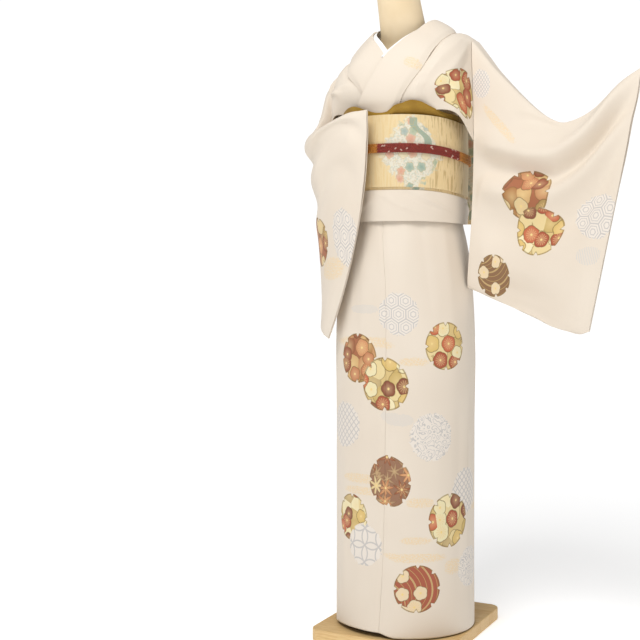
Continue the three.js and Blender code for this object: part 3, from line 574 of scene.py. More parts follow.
def cloth(name, skin, across, down, thick=SILK_THICK, side=1, closed=False, gauge=0.5, roundels=(),
          hazes=()):
    """A thin shell of cloth. skin(u, v) is its outer face in millimetres. Its UV map is its flat cut in
    metres, as wide as the shell is at v = gauge."""
    us = np.linspace(0, 1, across + 1)
    vs = np.concatenate([[0, 0.003], np.linspace(0, 1, down + 1)[1:-1], [0.997, 1]])
    if not closed:
        us = np.concatenate([[0, 0.004], us[1:-1], [0.996, 1]])
    columns, rows = len(us) - closed, len(vs)
    u, v = (grid.ravel() for grid in np.meshgrid(us[:columns], vs))
    outer = skin(u, v)
    points = np.concatenate([outer, outer - normals(skin, u, v, closed) * thick * side]) / 1000
    i, j = (grid.ravel() for grid in np.meshgrid(np.arange(len(us) - 1), np.arange(rows - 1)))
    square = [(0, i, j), (0, i + 1, j), (0, i + 1, j + 1), (0, i, j + 1)]
    i, foot, head = np.arange(len(us) - 1), 0, rows - 1
    groups = [square, [(1, a, b) for _, a, b in square[::-1]]]
    groups += [[(0, i, foot), (1, i, foot), (1, i + 1, foot), (0, i + 1, foot)],
               [(0, i, head), (0, i + 1, head), (1, i + 1, head), (1, i, head)]]
    if not closed:
        j, end = np.arange(rows - 1), len(us) - 1
        groups += [[(0, 0, j), (0, 0, j + 1), (1, 0, j + 1), (1, 0, j)],
                   [(0, end, j), (1, end, j), (1, end, j + 1), (0, end, j + 1)]]
    faces, places = [], []
    for group in groups:
        shape = np.broadcast(*[np.asarray(a) for corner in group for a in corner]).shape
        corners = [[np.broadcast_to(a, shape) for a in corner] for corner in group]
        faces.append(np.stack([f * columns * rows + b * columns + a % columns for f, a, b in corners], -1))
        places.append(np.stack([np.stack([us[a], vs[b]], -1) for _, a, b in corners], 1))
    shown = np.concatenate([np.full(len(f), k != 1) for k, f in enumerate(faces)])
    faces, places = np.concatenate(faces), np.concatenate(places)
    ways = [np.linalg.norm(np.diff(skin(*line), axis=0), axis=1) / 1000
            for line in ((us, np.full(len(us), gauge)), (np.full(rows, 0.25 if closed else 0.5), vs))]
    flat = np.stack([np.interp(places[..., k], line, np.concatenate([[0], np.cumsum(way)]))
                     for k, line, way in ((0, us, ways[0]), (1, vs, ways[1]))], -1)
    corner = points[faces]
    volume = (np.cross(corner[:, 1], corner[:, 2]) + np.cross(corner[:, 2], corner[:, 3])) * corner[:, 0]
    if volume.sum() < 0:
        faces, flat = faces[:, ::-1], flat[:, ::-1]
    mesh = bpy.data.meshes.new(name)
    mesh.from_pydata(points.tolist(), [], faces.tolist())
    mesh.shade_smooth()
    mesh.uv_layers.new(name="cloth").data.foreach_set("uv", flat.astype(np.float32).ravel())
    stamps = zip(("roundel", "roundel_under"), stamped(flat, roundels, shown))
    for label, local in [*stamps, ("haze", stamped(flat, hazes, shown)[0])]:
        layer = mesh.attributes.new(label, "FLOAT_VECTOR", "CORNER")
        layer.data.foreach_set("vector", local.astype(np.float32).ravel())
    return mesh


def hung(mesh, material, slot, node):
    """A finished sheet that stands for its CAD node."""
    piece = placed(mesh, material, slot, node)


# The skirt: six panels of silk wrapped round the legs, the left front over the right, seamed down the front
# where the overlap panel joins. An outline's row is a height, half the width and the depths in front and
# behind. A row of the seam is a height and the degrees round the figure.
SKIRT = [
    (25, 144, 129, 126), (200, 143.5, 128, 126), (420, 144, 128, 128), (600, 144.5, 128, 130),
    (740, 137, 123, 126), (800, 128, 115, 116), (845, 118.6, 106, 107), (905, 116.5, 103, 103),
]
OVERLAP_SEAM = [(30, 1.5), (180, 5), (420, 7), (700, 7), (800, 3), (905, -2)]
SKIRT_TOP, HEM, HEM_ARCH, SKIRT_GAP, LAP_EASE = 890, 28, 8, 0.6, 1.4
SIDE, EDGE, UNDER_EDGE, UNDER_SEAM = 84, -52, 46, -14  # seams and edges, in degrees
OVERLAP_LIFT = SILK_THICK + SKIRT_GAP + LAP_EASE
HALF_SEAM = math.degrees(0.15 / 135)


def outline(rows, z, turn, lift=0.0):
    """The point of a figure's outline at a height and a turn from the front towards the wearer's left."""
    wide, front, back = along(rows, z).T
    turn = np.radians(turn)
    deep = np.where(np.cos(turn) > 0, front, back)
    return np.stack([(wide + lift) * np.sin(turn), -(deep + lift) * np.cos(turn), z + 0 * turn], -1)


def seam_turn(z):
    return along(OVERLAP_SEAM, z)[:, 0]


def left_lift(turn, z):
    return OVERLAP_LIFT * (1 - ease((turn - 70) / 70)) - 1.2 * hump(turn, seam_turn(z), 2.4)


def skirt_panel(start, end, lift, creases):
    def skin(u, v):
        low, high = start(np.full(len(u), HEM)), end(np.full(len(u), HEM))
        hem_turn = low + (high - low) * u
        foot = HEM + HEM_ARCH * (1 - ease((hem_turn - 1) / 14)) * hump(hem_turn, -10, 50)
        z = foot + (SKIRT_TOP - foot) * v
        low, high = start(z), end(z)
        turn = low + (high - low) * u
        return outline(SKIRT, z, turn, lift(turn, z))
    return creased(skin, creases)


def level(turn):
    return lambda z: np.full(len(z), float(turn))


def flush(turn, z):
    return 0 * z


# Each panel's edges, how far out it lies, its flat cut and its creases, in shares of its width and height
SKIRT_PANELS = {
    "okumi_left": (level(EDGE), lambda z: seam_turn(z) - HALF_SEAM, left_lift, (0.15, 0.86), [
        (0.05, 0.55, 0.2, 0.98, 0.03, 0.09, 1.4), (0.5, 0.62, 0.62, 1.0, 0.02, 0.08, -1.6),
        (0.3, 0.02, 0.36, 0.45, 0.02, 0.1, 1.3), (0.72, 0.05, 0.8, 0.7, -0.03, 0.1, -1.3),
    ]),
    "front_left": (lambda z: seam_turn(z) + HALF_SEAM, level(SIDE - HALF_SEAM), left_lift, (0.19, 0.86), [
        (0.12, 0.6, 0.3, 1.0, 0.02, 0.07, 1.6), (0.5, 0.7, 0.42, 1.0, 0.02, 0.06, -1.5),
        (0.8, 0.55, 0.7, 1.0, 0.03, 0.07, 1.5), (0.55, 0.0, 0.5, 0.5, -0.03, 0.1, 1.2),
        (0.86, 0.02, 0.84, 0.6, 0.02, 0.07, -1.8),
    ]),
    "back_left": (level(SIDE + HALF_SEAM), level(180 - HALF_SEAM), left_lift, (0.23, 0.86), [
        (0.2, 0.5, 0.14, 1.0, 0.02, 0.07, 1.6), (0.5, 0.6, 0.6, 1.0, 0.02, 0.07, -1.5),
        (0.75, 0.0, 0.72, 0.6, 0.02, 0.09, 1.4), (0.4, 0.0, 0.42, 0.55, -0.02, 0.08, -1.4),
    ]),
    "back_right": (level(180 + HALF_SEAM), level(360 - SIDE - HALF_SEAM), flush, (0.23, 0.86), [
        (0.3, 0.55, 0.36, 1.0, 0.02, 0.07, 1.5), (0.66, 0.6, 0.6, 1.0, -0.02, 0.07, -1.4),
        (0.5, 0.0, 0.52, 0.5, 0.02, 0.08, 1.5), (0.82, 0.02, 0.85, 0.6, 0.02, 0.07, -1.5),
    ]),
    "front_right": (level(HALF_SEAM - SIDE), level(UNDER_SEAM - HALF_SEAM), flush, (0.17, 0.86), [
        (0.1, 0.5, 0.16, 1.0, 0.02, 0.06, 1.4), (0.14, 0.0, 0.12, 0.55, 0.02, 0.06, -1.4),
    ]),
    "okumi_right": (level(UNDER_SEAM + HALF_SEAM), level(UNDER_EDGE), flush, (0.15, 0.86), []),
}
# Roundels and hazes: their middle, half width and half height in metres of the flat panel, then a code. A
# roundel's code is its kind and, after the point, its own chance. A haze's is 1 for gold and 2 for pale.
SKIRT_ROUNDELS = {
    "okumi_left": [
        (0.1758, 0.6244, 0.0446, 0.0449, 11.1), (0.0843, 0.5355, 0.046, 0.0495, 2.3),
        (0.1474, 0.4873, 0.0485, 0.0529, 3.2), (0.0463, 0.4014, 0.048, 0.0482, 13.1),
        (0.1591, 0.2988, 0.0438, 0.05, 5.4), (0.0705, 0.2186, 0.041, 0.047, 3.7),
        (0.1061, 0.1675, 0.0435, 0.0437, 12.2),
    ],
    "front_left": [
        (0.0265, 0.631, 0.0438, 0.0449, 11.1), (-0.0017, 0.4917, 0.0485, 0.0529, 3.2),
        (0.1216, 0.5684, 0.0435, 0.0475, 3.5), (0.0925, 0.3918, 0.0463, 0.0506, 14.3),
        (0.0092, 0.3029, 0.0438, 0.05, 5.4), (0.0686, 0.0971, 0.0444, 0.0468, 9.2),
        (0.1778, 0.2792, 0.042, 0.048, 13.6), (0.1925, 0.1249, 0.04, 0.043, 14.6),
        (0.1325, 0.2263, 0.0455, 0.0533, 3.9),
    ],
    "back_left": [
        (-0.0094, 0.2792, 0.042, 0.048, 13.6), (0.0053, 0.1249, 0.04, 0.043, 14.6),
        (0.1, 0.46, 0.044, 0.046, 11.7), (0.1, 0.2, 0.046, 0.05, 2.6), (0.152, 0.165, 0.046, 0.05, 3.4),
        (0.235, 0.31, 0.044, 0.048, 5.8),
    ],
    "back_right": [
        (0.0058, 0.31, 0.044, 0.048, 5.8), (0.07, 0.14, 0.044, 0.046, 12.5),
        (0.14, 0.4, 0.046, 0.048, 14.2), (0.16, 0.25, 0.046, 0.052, 3.1), (0.2, 0.21, 0.044, 0.048, 9.6),
    ],
    "front_right": [(0.06, 0.33, 0.044, 0.048, 11.4), (0.1, 0.17, 0.046, 0.05, 3.3)],
}
SKIRT_HAZES = {
    "okumi_left": [
        (0.1034, 0.5678, 0.088, 0.0115, 1), (0.092, 0.298, 0.05, 0.0105, 1),
        (0.1, 0.274, 0.056, 0.009, 1), (0.0991, 0.6328, 0.0355, 0.009, 2),
        (0.175, 0.425, 0.036, 0.013, 2),
    ],
    "front_left": [
        (-0.046, 0.5678, 0.067, 0.0115, 1), (0.0562, 0.5385, 0.032, 0.009, 1),
        (0.0705, 0.2643, 0.03, 0.0107, 1), (0.0641, 0.1905, 0.033, 0.008, 1),
        (0.063, 0.1566, 0.066, 0.0098, 1), (0.1421, 0.1349, 0.022, 0.0167, 1),
        (0.0258, 0.4247, 0.032, 0.013, 2),
    ],
    "back_left": [(0.07, 0.24, 0.06, 0.01, 1), (0.14, 0.42, 0.05, 0.01, 2), (0.16, 0.12, 0.06, 0.011, 1)],
    "back_right": [(0.1, 0.33, 0.06, 0.01, 1), (0.08, 0.2, 0.04, 0.01, 1), (0.16, 0.15, 0.05, 0.01, 2)],
}
for panel, (start_turn, end_turn, lift, cut, creases) in SKIRT_PANELS.items():
    skin = skirt_panel(start_turn, end_turn, lift, creases)
    mesh = cloth(f"silk_skirt_{panel}", skin, 44, 200,
                 roundels=SKIRT_ROUNDELS.get(panel, ()), hazes=SKIRT_HAZES.get(panel, ()))
    hung(mesh, silk, "silk", f"skirt_{panel}")

# The tuck at the waist: the kimono's spare length, folded up on itself all round under the obi. It bellies
# out a little and carries slanting folds, where the cloth was pulled smooth towards the sides.
WAIST = [(830, 126, 113, 113), (903, 125, 113, 112), (980, 125, 113, 112), (1052, 125, 113, 112)]
OBI_FOOT, OBI_TALL, OBI_TILT, TUCK_FOOT, TUCK_THICK = 903, 147, 14, 841, 3.2


def lower_behind(turn, tilt=OBI_TILT):
    """How much lower a band sits at the sides and back than in front."""
    return tilt * ease((1 - np.cos(np.radians(turn))) / 1.2)


def tuck_skin(u, v):
    turn = -180 + 360 * u
    foot = TUCK_FOOT - 3 * ease((turn - 30) / 50) * ease((150 - turn) / 50)
    head = OBI_FOOT - lower_behind(turn) - 0.6
    z = foot + (head - foot) * v
    belly = 2 * np.sin(np.pi * clamp(v)) * (0.6 + 0.4 * np.cos(np.radians(turn - 20)))
    return outline(WAIST, z, turn, 5 + belly)


TUCK_CREASES = [
    (0.515, 0.9, 0.60, 0.25, -0.02, 0.012, 1.6), (0.56, 1.0, 0.66, 0.4, -0.02, 0.012, -1.5),
    (0.60, 1.0, 0.70, 0.3, -0.02, 0.014, 2.4), (0.47, 0.75, 0.40, 0.2, 0.02, 0.014, 1.4),
    (0.36, 0.95, 0.3, 0.3, 0.02, 0.012, 1.5), (0.74, 0.9, 0.82, 0.3, 0.02, 0.012, 2.2),
    (0.1, 0.9, 0.18, 0.3, 0.02, 0.012, 1.5), (0.9, 0.3, 0.97, 0.9, 0.02, 0.012, -1.4),
]
skin = creased(tuck_skin, TUCK_CREASES, closed=True)
mesh = cloth("silk_tuck", skin, 220, 20, thick=TUCK_THICK, closed=True)
hung(mesh, silk, "silk", "ohashori_fold")

# The sleeves: each a bag of silk from the sleeve seam to the cuff, whose edge is sewn up below the hand.
# The left one is lifted by its upper corner and sags in deep rolls. The right one is folded to the front of
# the obi. A row is the share of the way to the cuff, the top's point, the bag's bow and the foot's point.
LEFT_SLEEVE = [
    (0, 157, 0, 1204, 30, 0, 149, -4, 708), (0.1, 184, -6, 1171, 18, 0, 172, -10, 700),
    (0.2, 211, -11, 1138, 10, 0, 202, -20, 688), (0.4, 283, -21, 1065, 0, -6, 263, -45, 668),
    (0.55, 330, -30, 1031, 0, -14, 310, -66, 652), (0.65, 360, -35, 1026, 0, -16, 338, -78, 640),
    (0.78, 410, -44, 1046, 0, -10, 374, -92, 632), (0.9, 465, -54, 1092, 0, -4, 402, -103, 629),
    (1, 507, -61, 1116, 0, 0, 420, -110, 634),
]
RIGHT_SLEEVE = [
    (0, -151, 0, 1158, -10, -10, -160, 66, 668), (0.08, -173, -2, 1137, -6, -10, -170, 50, 664),
    (0.16, -182, -7, 1112, 2, -10, -175, 32, 660), (0.28, -190, -17, 1064, 12, -10, -176, 8, 654),
    (0.42, -200, -40, 1028, 30, -14, -172, -24, 646), (0.58, -164, -86, 1027, 26, -30, -163, -54, 636),
    (0.74, -110, -118, 1041, 30, -34, -150, -84, 626), (0.88, -58, -138, 1054, 42, -30, -131, -106, 614),
    (1, -14, -144, 1058, 60, -24, -112, -122, 607),
]
# Long folds: how far down the bag each lies at the seam, half way and at the cuff, its height, half width
LEFT_FOLDS = [
    (0.44, 0.2, 0.03, 18, 0.055), (0.52, 0.31, 0.12, -14, 0.055), (0.6, 0.4, 0.2, 14, 0.06),
    (0.74, 0.58, 0.34, -9, 0.08),
]
RIGHT_FOLDS = [
    (0.34, 0.05, 0.03, 9, 0.055), (0.42, 0.14, 0.1, -6, 0.05), (0.5, 0.24, 0.16, 4, 0.06),
    (0.62, 0.38, 0.28, -5, 0.08),
]
CUFF_OPEN = 0.44  # the share of the cuff's edge that is left open, from the top
OPEN_HALF, CLOSED_HALF, SWAY = 3.8, 2.3, 5


def lean(a, b, c, s):
    """The curve from a to c that leans towards b, at share s of its way."""
    s = s[:, None]
    return a * (1 - s) ** 2 + b * 2 * s * (1 - s) + c * s**2


def sleeve_skin(rows, folds, seam_half):
    def sheet(s, v):
        row = along(rows, v)
        top, foot = row[:, :3], row[:, 5:]
        middle = (top + foot) / 2
        middle[:, :2] += row[:, 3:5]
        return lean(top, middle, foot, s)

    def skin(u, v):
        spin = u * 2 * np.pi
        s = (1 - np.cos(spin)) / 2
        sewn = ease((v - 0.55) / 0.42) * ease((s - CUFF_OPEN + 0.12) / 0.16)
        foot = ease((s - 0.8) / 0.2) * ease(v / 0.3)
        half = seam_half + (OPEN_HALF - seam_half) * ease(v / 0.9)
        half = half + (CLOSED_HALF - half) * sewn
        half = half + (CLOSED_HALF - half) * foot
        apart = half * np.sign(np.sin(spin)) * np.abs(np.sin(spin)) ** (0.3 - 0.18 * sewn)
        folded = 0
        for start, mid, end, high, half_wide in folds:
            ridge = (1 - v) ** 2 * start + 2 * v * (1 - v) * (2 * mid - (start + end) / 2) + v**2 * end
            folded = folded + high * hump(s, ridge, half_wide)
        sway = SWAY * np.sin(7 * v + 1.2) * ease((s - 0.35) / 0.5)
        rim = np.sqrt(1 - (1 - clamp(np.minimum(s, 1 - s) / 0.04)) ** 2)
        free = ease(v / 0.25) * ease((1.04 - v) / 0.2) * rim
        return sheet(s, v) + normals(sheet, s, v) * (apart + (folded + sway) * free)[:, None]
    return skin


class Side:
    """One side of the body: which way it faces, where its sleeve is sewn on, and its sleeve's skin."""

    def __init__(self, sign, seam_x, shoulder, rows, folds, seam_half):
        self.sign, self.seam_x, self.shoulder = sign, seam_x, shoulder
        self.sleeve = sleeve_skin(rows, folds, seam_half)


left = Side(1, 157, 1204, LEFT_SLEEVE, LEFT_FOLDS, 24)
right = Side(-1, 151, 1158, RIGHT_SLEEVE, RIGHT_FOLDS, 18)
SLEEVE_CREASES = {
    "left": [
        (0.14, 0.28, 0.05, 0.6, 0.02, 0.012, -2.2), (0.30, 0.05, 0.22, 0.4, 0.03, 0.014, 2.2),
        (0.34, 0.3, 0.28, 0.9, -0.03, 0.02, 2.0), (0.4, 0.1, 0.36, 0.75, -0.02, 0.02, -1.8),
        (0.86, 0.28, 0.95, 0.6, 0.02, 0.012, -2.2), (0.70, 0.05, 0.78, 0.4, 0.03, 0.014, 2.2),
        (0.66, 0.3, 0.72, 0.9, 0.03, 0.02, 2.0),
    ],
    "right": [
        (0.86, 0.35, 0.9, 0.85, 0.02, 0.014, 2.0), (0.78, 0.25, 0.84, 0.85, 0.03, 0.016, -2.2),
        (0.7, 0.1, 0.76, 0.75, -0.02, 0.02, 2.2), (0.62, 0.05, 0.64, 0.6, 0.02, 0.02, -1.6),
        (0.11, 0.54, 0.1, 0.98, 0.045, 0.016, -4.0), (0.15, 0.58, 0.14, 0.98, 0.045, 0.02, 5.0),
        (0.21, 0.6, 0.19, 0.96, 0.04, 0.02, -4.0), (0.3, 0.1, 0.24, 0.75, 0.02, 0.02, 2.0),
    ],
}
# Their middle and half sizes are metres round the bag and towards the cuff, with a code and a slant
SLEEVE_ROUNDELS = {
    "left": [
        (0.0602, 0.024, 0.028, 0.027, 13.8, -0.76), (0.1932, 0.1609, 0.0541, 0.0598, 2.8, -0.507),
        (0.2575, 0.1888, 0.0479, 0.0585, 3.6, -0.366), (0.2385, 0.3195, 0.0396, 0.0556, 11.3, 0.421),
        (0.3801, 0.0757, 0.0369, 0.046, 4.3, -0.311), (0.56, 0.22, 0.045, 0.05, 11.5, 0.3),
        (0.47, 0.11, 0.044, 0.05, 3.8, 0.35), (0.63, 0.12, 0.045, 0.05, 12.1, 0.4),
    ],
    "right": [
        (0.2345, 0.196, 0.0472, 0.048, 2.5, 0.3), (0.2263, 0.2932, 0.0445, 0.0425, 11.9, 0.635),
        (0.56, 0.17, 0.046, 0.05, 3.5, -0.3), (0.5, 0.23, 0.046, 0.05, 13.3, -0.3),
        (0.66, 0.1, 0.046, 0.05, 14.8, -0.3),
    ],
}
SLEEVE_HAZES = {
    "left": [
        (0.0982, 0.0763, 0.0134, 0.0515, 1, 0.06), (0.302, 0.3174, 0.015, 0.033, 2, 0.248),
        (0.52, 0.16, 0.012, 0.06, 1, 0.3),
    ],
    "right": [(0.2826, 0.2688, 0.0215, 0.044, 1, -0.07), (0.6, 0.22, 0.012, 0.06, 1, -0.3)],
}
for label, side, cut in (("left", left, (0.85, 0.36)), ("right", right, (0.82, 0.32))):
    skin = creased(side.sleeve, SLEEVE_CREASES[label], closed=True)
    mesh = cloth(f"silk_sleeve_{label}", skin, 260, 110, closed=True,
                 roundels=SLEEVE_ROUNDELS[label], hazes=SLEEVE_HAZES[label])
    hung(mesh, silk, "silk", f"sleeve_{label}")

# The bodice: one panel of silk each side, from the back of the obi over the shoulder to its front, sewn to
# the sleeve and to the collar. Rows go from the back (-1) over the shoulder (0) to the front (1), each
# through the edge at the collar, a line on the panel and one near the sleeve seam.
BODICE = [
    (-1, 0.7, 97, 1024, 60, 84, 1028, 124, 46, 1072),
    (-0.86, 0.7, 103, 1075, 66, 96, 1080, 130, 56, 1092),
    (-0.6, 0.7, 113, 1132, 72, 103, 1134, 136, 62, 1132),
    (-0.35, 0.7, 118, 1186, 76, 96, 1180, 138, 56, 1170),
    (-0.18, 74, 82, 1206, 104, 66, 1202, 137, 40, 1192), (0, 112, 4, 1224, 127, 3, 1222, 142, 2, 1216),
    (0.2, 101, -54, 1196, 118, -54, 1197, 140, -42, 1192),
    (0.45, 81, -84, 1146, 106, -86, 1148, 139, -62, 1146),
    (0.7, 56, -100, 1110, 95, -93, 1114, 139, -70, 1112),
    (0.84, 42, -101, 1090, 94, -90, 1092, 139, -68, 1094),
    (0.92, 33, -101, 1070, 91, -85, 1076, 140, -66, 1074),
    (1, 24, -98, 1042, 89, -79, 1059, 141, -63, 1052),
]
CHEST = [
    (1020, 95, 115), (1048, 96.5, 116), (1062, 98, 121), (1080, 103, 142), (1100, 104, 158),
    (1126, 101, 165), (1150, 95, 165), (1173, 87, 165), (1200, 72, 165), (1240, 46, 165),
]
LAYER = 4  # what each crossed layer of the chest is raised by
LEFT_OVER, CENTRE_GAP, SLEEVE_GAP = LAYER + 2.0, 0.7, 0.6


def on_chest(x, z, lift):
    deep, span = along(CHEST, z).T
    return np.stack([x, -deep * np.sqrt(1 - (x / span) ** 2) - lift, z], -1)


def lowered(point, side):
    """A side's shoulder, brought down smoothly from the level of the left one."""
    high = ease((point[:, 2] - 1085) / 100)
    out = ease((np.abs(point[:, 0]) - 20) / 130)
    narrow = 1 - (1 - side.seam_x / left.seam_x) * ease((np.abs(point[:, 0]) - 90) / 60)
    drop = (left.shoulder - side.shoulder) * high * out
    return np.stack([point[:, 0] * narrow * side.sign, point[:, 1], point[:, 2] - drop], -1)


def bodice_skin(side):
    def skin(u, v):
        at = -1 + 2 * v
        row = along(BODICE, at)
        edge, middle, outer = row[:, :3].copy(), row[:, 3:6].copy(), row[:, 6:]
        edge[:, 0] = np.maximum(edge[:, 0], CENTRE_GAP)
        to_front = ease((at - 0.2) / 0.25)[:, None]
        front = on_chest(edge[:, 0], edge[:, 2], LEFT_OVER if side is left else 0)
        edge = edge + (front - edge) * to_front
        if side is right:
            middle[:, 1] += LEFT_OVER * to_front[:, 0]
        seam = side.sleeve(side.sign * at * 0.22, 0 * at)
        seam[:, 0] -= side.sign * SLEEVE_GAP
        lines = [lowered(edge, side), lowered(middle, side), lowered(outer, side), seam]
        return through(np.array([0, 1, 2, 3]) / 3, np.stack(lines), u)
    return skin


BODY_CREASES = {
    "left": [
        (0.14, 0.84, 0.2, 1.0, 0.0, 0.03, 2.0), (0.26, 0.86, 0.3, 1.0, 0.0, 0.03, -1.6),
        (0.95, 0.62, 0.35, 0.93, 0.05, 0.035, 2.2), (0.98, 0.70, 0.45, 0.97, 0.03, 0.03, -2.0),
        (0.7, 0.56, 0.25, 0.8, 0.03, 0.04, 1.6), (0.9, 0.8, 0.6, 1.0, 0.02, 0.03, 2.0),
        (0.95, 0.38, 0.5, 0.15, 0.03, 0.04, 2.0), (0.6, 0.3, 0.3, 0.05, 0.02, 0.04, -1.8),
    ],
    "right": [
        (0.95, 0.62, 0.35, 0.93, -0.05, 0.035, 2.0), (0.9, 0.72, 0.5, 0.97, -0.03, 0.03, -1.6),
        (0.95, 0.38, 0.5, 0.15, -0.03, 0.04, 1.6), (0.6, 0.3, 0.3, 0.05, -0.02, 0.04, -1.4),
    ],
}
BODY_ROUNDELS = {
    "left": [(0.1063, 0.377, 0.0492, 0.0385, 3.3, -0.055)],
    "right": [(0.098, 0.07, 0.042, 0.042, 2.4)],
}
BODY_HAZES = {"left": [(0.1, 0.08, 0.05, 0.011, 1)], "right": [(0.05, 0.13, 0.05, 0.011, 1)]}
for label, side, cut in (("left", left, (0.156, 0.423)), ("right", right, (0.189, 0.34))):
    skin = creased(bodice_skin(side), BODY_CREASES[label], side=-side.sign)
    mesh = cloth(f"silk_body_{label}", skin, 44, 110, side=-side.sign, gauge=0.88,
                 roundels=BODY_ROUNDELS[label], hazes=BODY_HAZES[label])
    hung(mesh, silk, "silk", f"body_{label}")

# The collar: a doubled and stiffened band of the same silk, from the obi over the shoulder to the centre
# back, the left half crossing over the right one. Its outer edge is sewn to the bodice.
COLLAR_THICK, SEWN_DEEP, STRIP_THICK, STRIP_GAP = 3, 3.4, 1.2, 1.1
COLLAR_EDGE = [
    (-0.35, 0.8, 102, 1240), (-0.2, 48, 78, 1252), (-0.05, 64, 24, 1259), (0.08, 62, -16, 1250),
    (0.2, 53, -45, 1231), (0.33, 29, -75, 1203), (0.45, 2, -90, 1172), (0.7, -30, -101, 1117),
    (0.84, -46, -101, 1090), (0.92, -59, -95, 1071), (1, -68, -88, 1044),
]


def collar_skin(side):
    bodice = bodice_skin(side)

    def skin(u, v):
        at = -0.35 + 1.35 * v
        share = (at + 1) / 2
        out = normals(bodice, np.full(len(u), 0.02), share) * -side.sign
        seam = bodice(0.02 * ease(v * 8), share) + out * (LAYER + 0.5)
        edge = lowered(along(COLLAR_EDGE, at), side)
        if side is right:
            edge[:, 0] *= 1 - 0.7 * ease((at - 0.45) / 0.3)
        sewn = SEWN_DEEP * ease((u - 0.84) / 0.16)
        free = lean(edge, (edge + seam) / 2 + out * 5, seam, u) - out * sewn[:, None]
        height = (2 * LAYER + 2.4 if side is left else LAYER) + u - sewn
        crossed = on_chest(free[:, 0], free[:, 2], height)
        return free + (crossed - free) * ease((at - 0.2) / 0.18)[:, None]
    return skin


COLLAR_HAZES = {"left": [(0.0543, 0.3093, 0.0181, 0.0139, 1, 0.45)]}
for label, side, cut in (("left", left, (0.072, 0.44)), ("right", right, (0.087, 0.41))):
    mesh = cloth(f"silk_collar_{label}", collar_skin(side), 26, 110, thick=COLLAR_THICK, side=-side.sign,
                 hazes=COLLAR_HAZES.get(label, ()))
    hung(mesh, silk, "silk", f"collar_{label}")

# The white strip: a narrow fold of plain crepe tacked inside each half of the collar. It stands a few
# millimetres proud of the collar's edge.
white, start, shader = finish("white_crepe", Specular_IOR_Level=0.2, Sheen_Weight=0.1)
place = start.read("cloth")
crepe = place.noise(1300, 2, (1, 0.6, 1))
feed(shader, Base_Color=crepe.over(dye(240, 239, 238), dye(252, 252, 251)), Roughness=0.66 + crepe * 0.1)
feed(shader, Normal=crepe.relief(0.2, 0.0002))


def strip_skin(side):
    collar = collar_skin(side)

    def skin(u, v):
        across, down = -0.11 + 0.41 * u, 0.015 + 0.585 * v
        behind = normals(collar, np.maximum(across, 0.02), down) * side.sign
        return collar(across, down) + behind * (COLLAR_THICK + STRIP_GAP)
    return skin


for label, side, cut in (("left", left, (0.023, 0.276)), ("right", right, (0.03, 0.264))):
    mesh = cloth(f"white_strip_{label}", strip_skin(side), 8, 90, thick=STRIP_THICK, side=-side.sign)
    hung(mesh, white, "collar_strip", f"collar_strip_{label}")

# The obi: a folded band of cream and gold brocade wound twice round the waist, the under wrap showing as a
# line at its foot. Its ground is ribbed and flecked with gold, and pale lozenges on it hold woven flowers,
# leaves and a stream. The drum and tail of the knot behind are the same band.
LOZENGE_STEP, LOZENGE_SHIFT, LOZENGE_MIDDLE = 0.26, 0.187, 0.066
SPECK_DYES = [(0.0, 160, 178, 162), (0.25, 206, 186, 140), (0.5, 222, 218, 202), (0.8, 196, 180, 156)]
BLOOM_DYES = [
    (0.0, 128, 160, 144), (0.4, 214, 146, 116), (0.58, 158, 172, 140), (0.7, 226, 208, 166),
    (0.86, 150, 168, 160),
]
brocade, start, shader = finish("brocade", Specular_IOR_Level=0.4, Sheen_Weight=0.1)
place = start.read("cloth")
x, y, _ = place.parts()
rib = abs((y * 900) % 1 - 0.5) * 2
weft = place.noise(800, 1, (0.25, 1, 1))
streaks = place.noise(240, 3, (1, 0.1, 1))
local_x = (x + LOZENGE_SHIFT) % LOZENGE_STEP - LOZENGE_STEP / 2
local_y = y - LOZENGE_MIDDLE
worked = local_x.ease(0.0, 0.06)
ground = streaks.ease(0.4, 0.65).over(dye(226, 200, 150), dye(236, 216, 172))
ground = (streaks.ease(0.5, 0.6) * (worked * 0.5 + 0.15)).over(ground, dye(176, 138, 74))
ragged = place.noise(90, 2)
spread = (abs(local_x) / 0.06) ** 1.3 + (abs(local_y) / 0.07) ** 1.3 + (ragged - 0.5) * 0.9
lozenge = spread.ease(1.1, 0.94)
ground = lozenge.over(ground, dye(222, 216, 198))
speck, _, speck_chance, _ = net(place, 320, 1.0)
ground = (lozenge * (speck < 0.5) * 0.4).over(ground, speck_chance.among(SPECK_DYES))
bloom_place = place.node("ShaderNodeVectorMath", {"operation": "MULTIPLY"}, {0: place, 1: (44, 40, 1)})
bloom, turn, chance, size = net(bloom_place, 1, 0.9)
reach = 0.24 + size * 0.14 + 0.1 * abs((turn * 2.5 + size * 4).wave())
blooming = lozenge * (bloom < reach) * (chance > 0.25)
ground = (blooming * (1 - bloom) * 0.85).over(ground, chance.among(BLOOM_DYES))
stream_line = local_x - 0.014 + (local_y - 0.05) * 0.7 + 0.005 * (local_y * 150).wave()
stream = (abs(stream_line) < 0.0075) * (abs(local_y - 0.044) < 0.026)
ground = (stream * 0.85).over(ground, dye(132, 164, 152))
banding = abs((stream_line * 400) % 1 - 0.5) < 0.14
gold_line = blooming * (abs(bloom - reach) < 0.04) + stream * banding
ground = (gold_line * 0.6).over(ground, dye(206, 176, 112))
ground = (rib.ease(0.6, 1.0) * 0.12).over(ground, dye(150, 124, 76))
feed(shader, Base_Color=ground, Roughness=0.5 - streaks * 0.12 + lozenge * 0.1, Metallic=streaks * 0.18)
feed(shader, Normal=(rib * 0.6 + weft + blooming * 1.4 + gold_line).relief(0.3, 0.0004))

OBI_THICK, UNDER_LIFT, OUTER_LIFT, OBI_BOW = 3, 3, 6.4, 1.4
TOP_STEP, FOOT_STEP = 6, 5  # how far apart the two wraps' edges lie


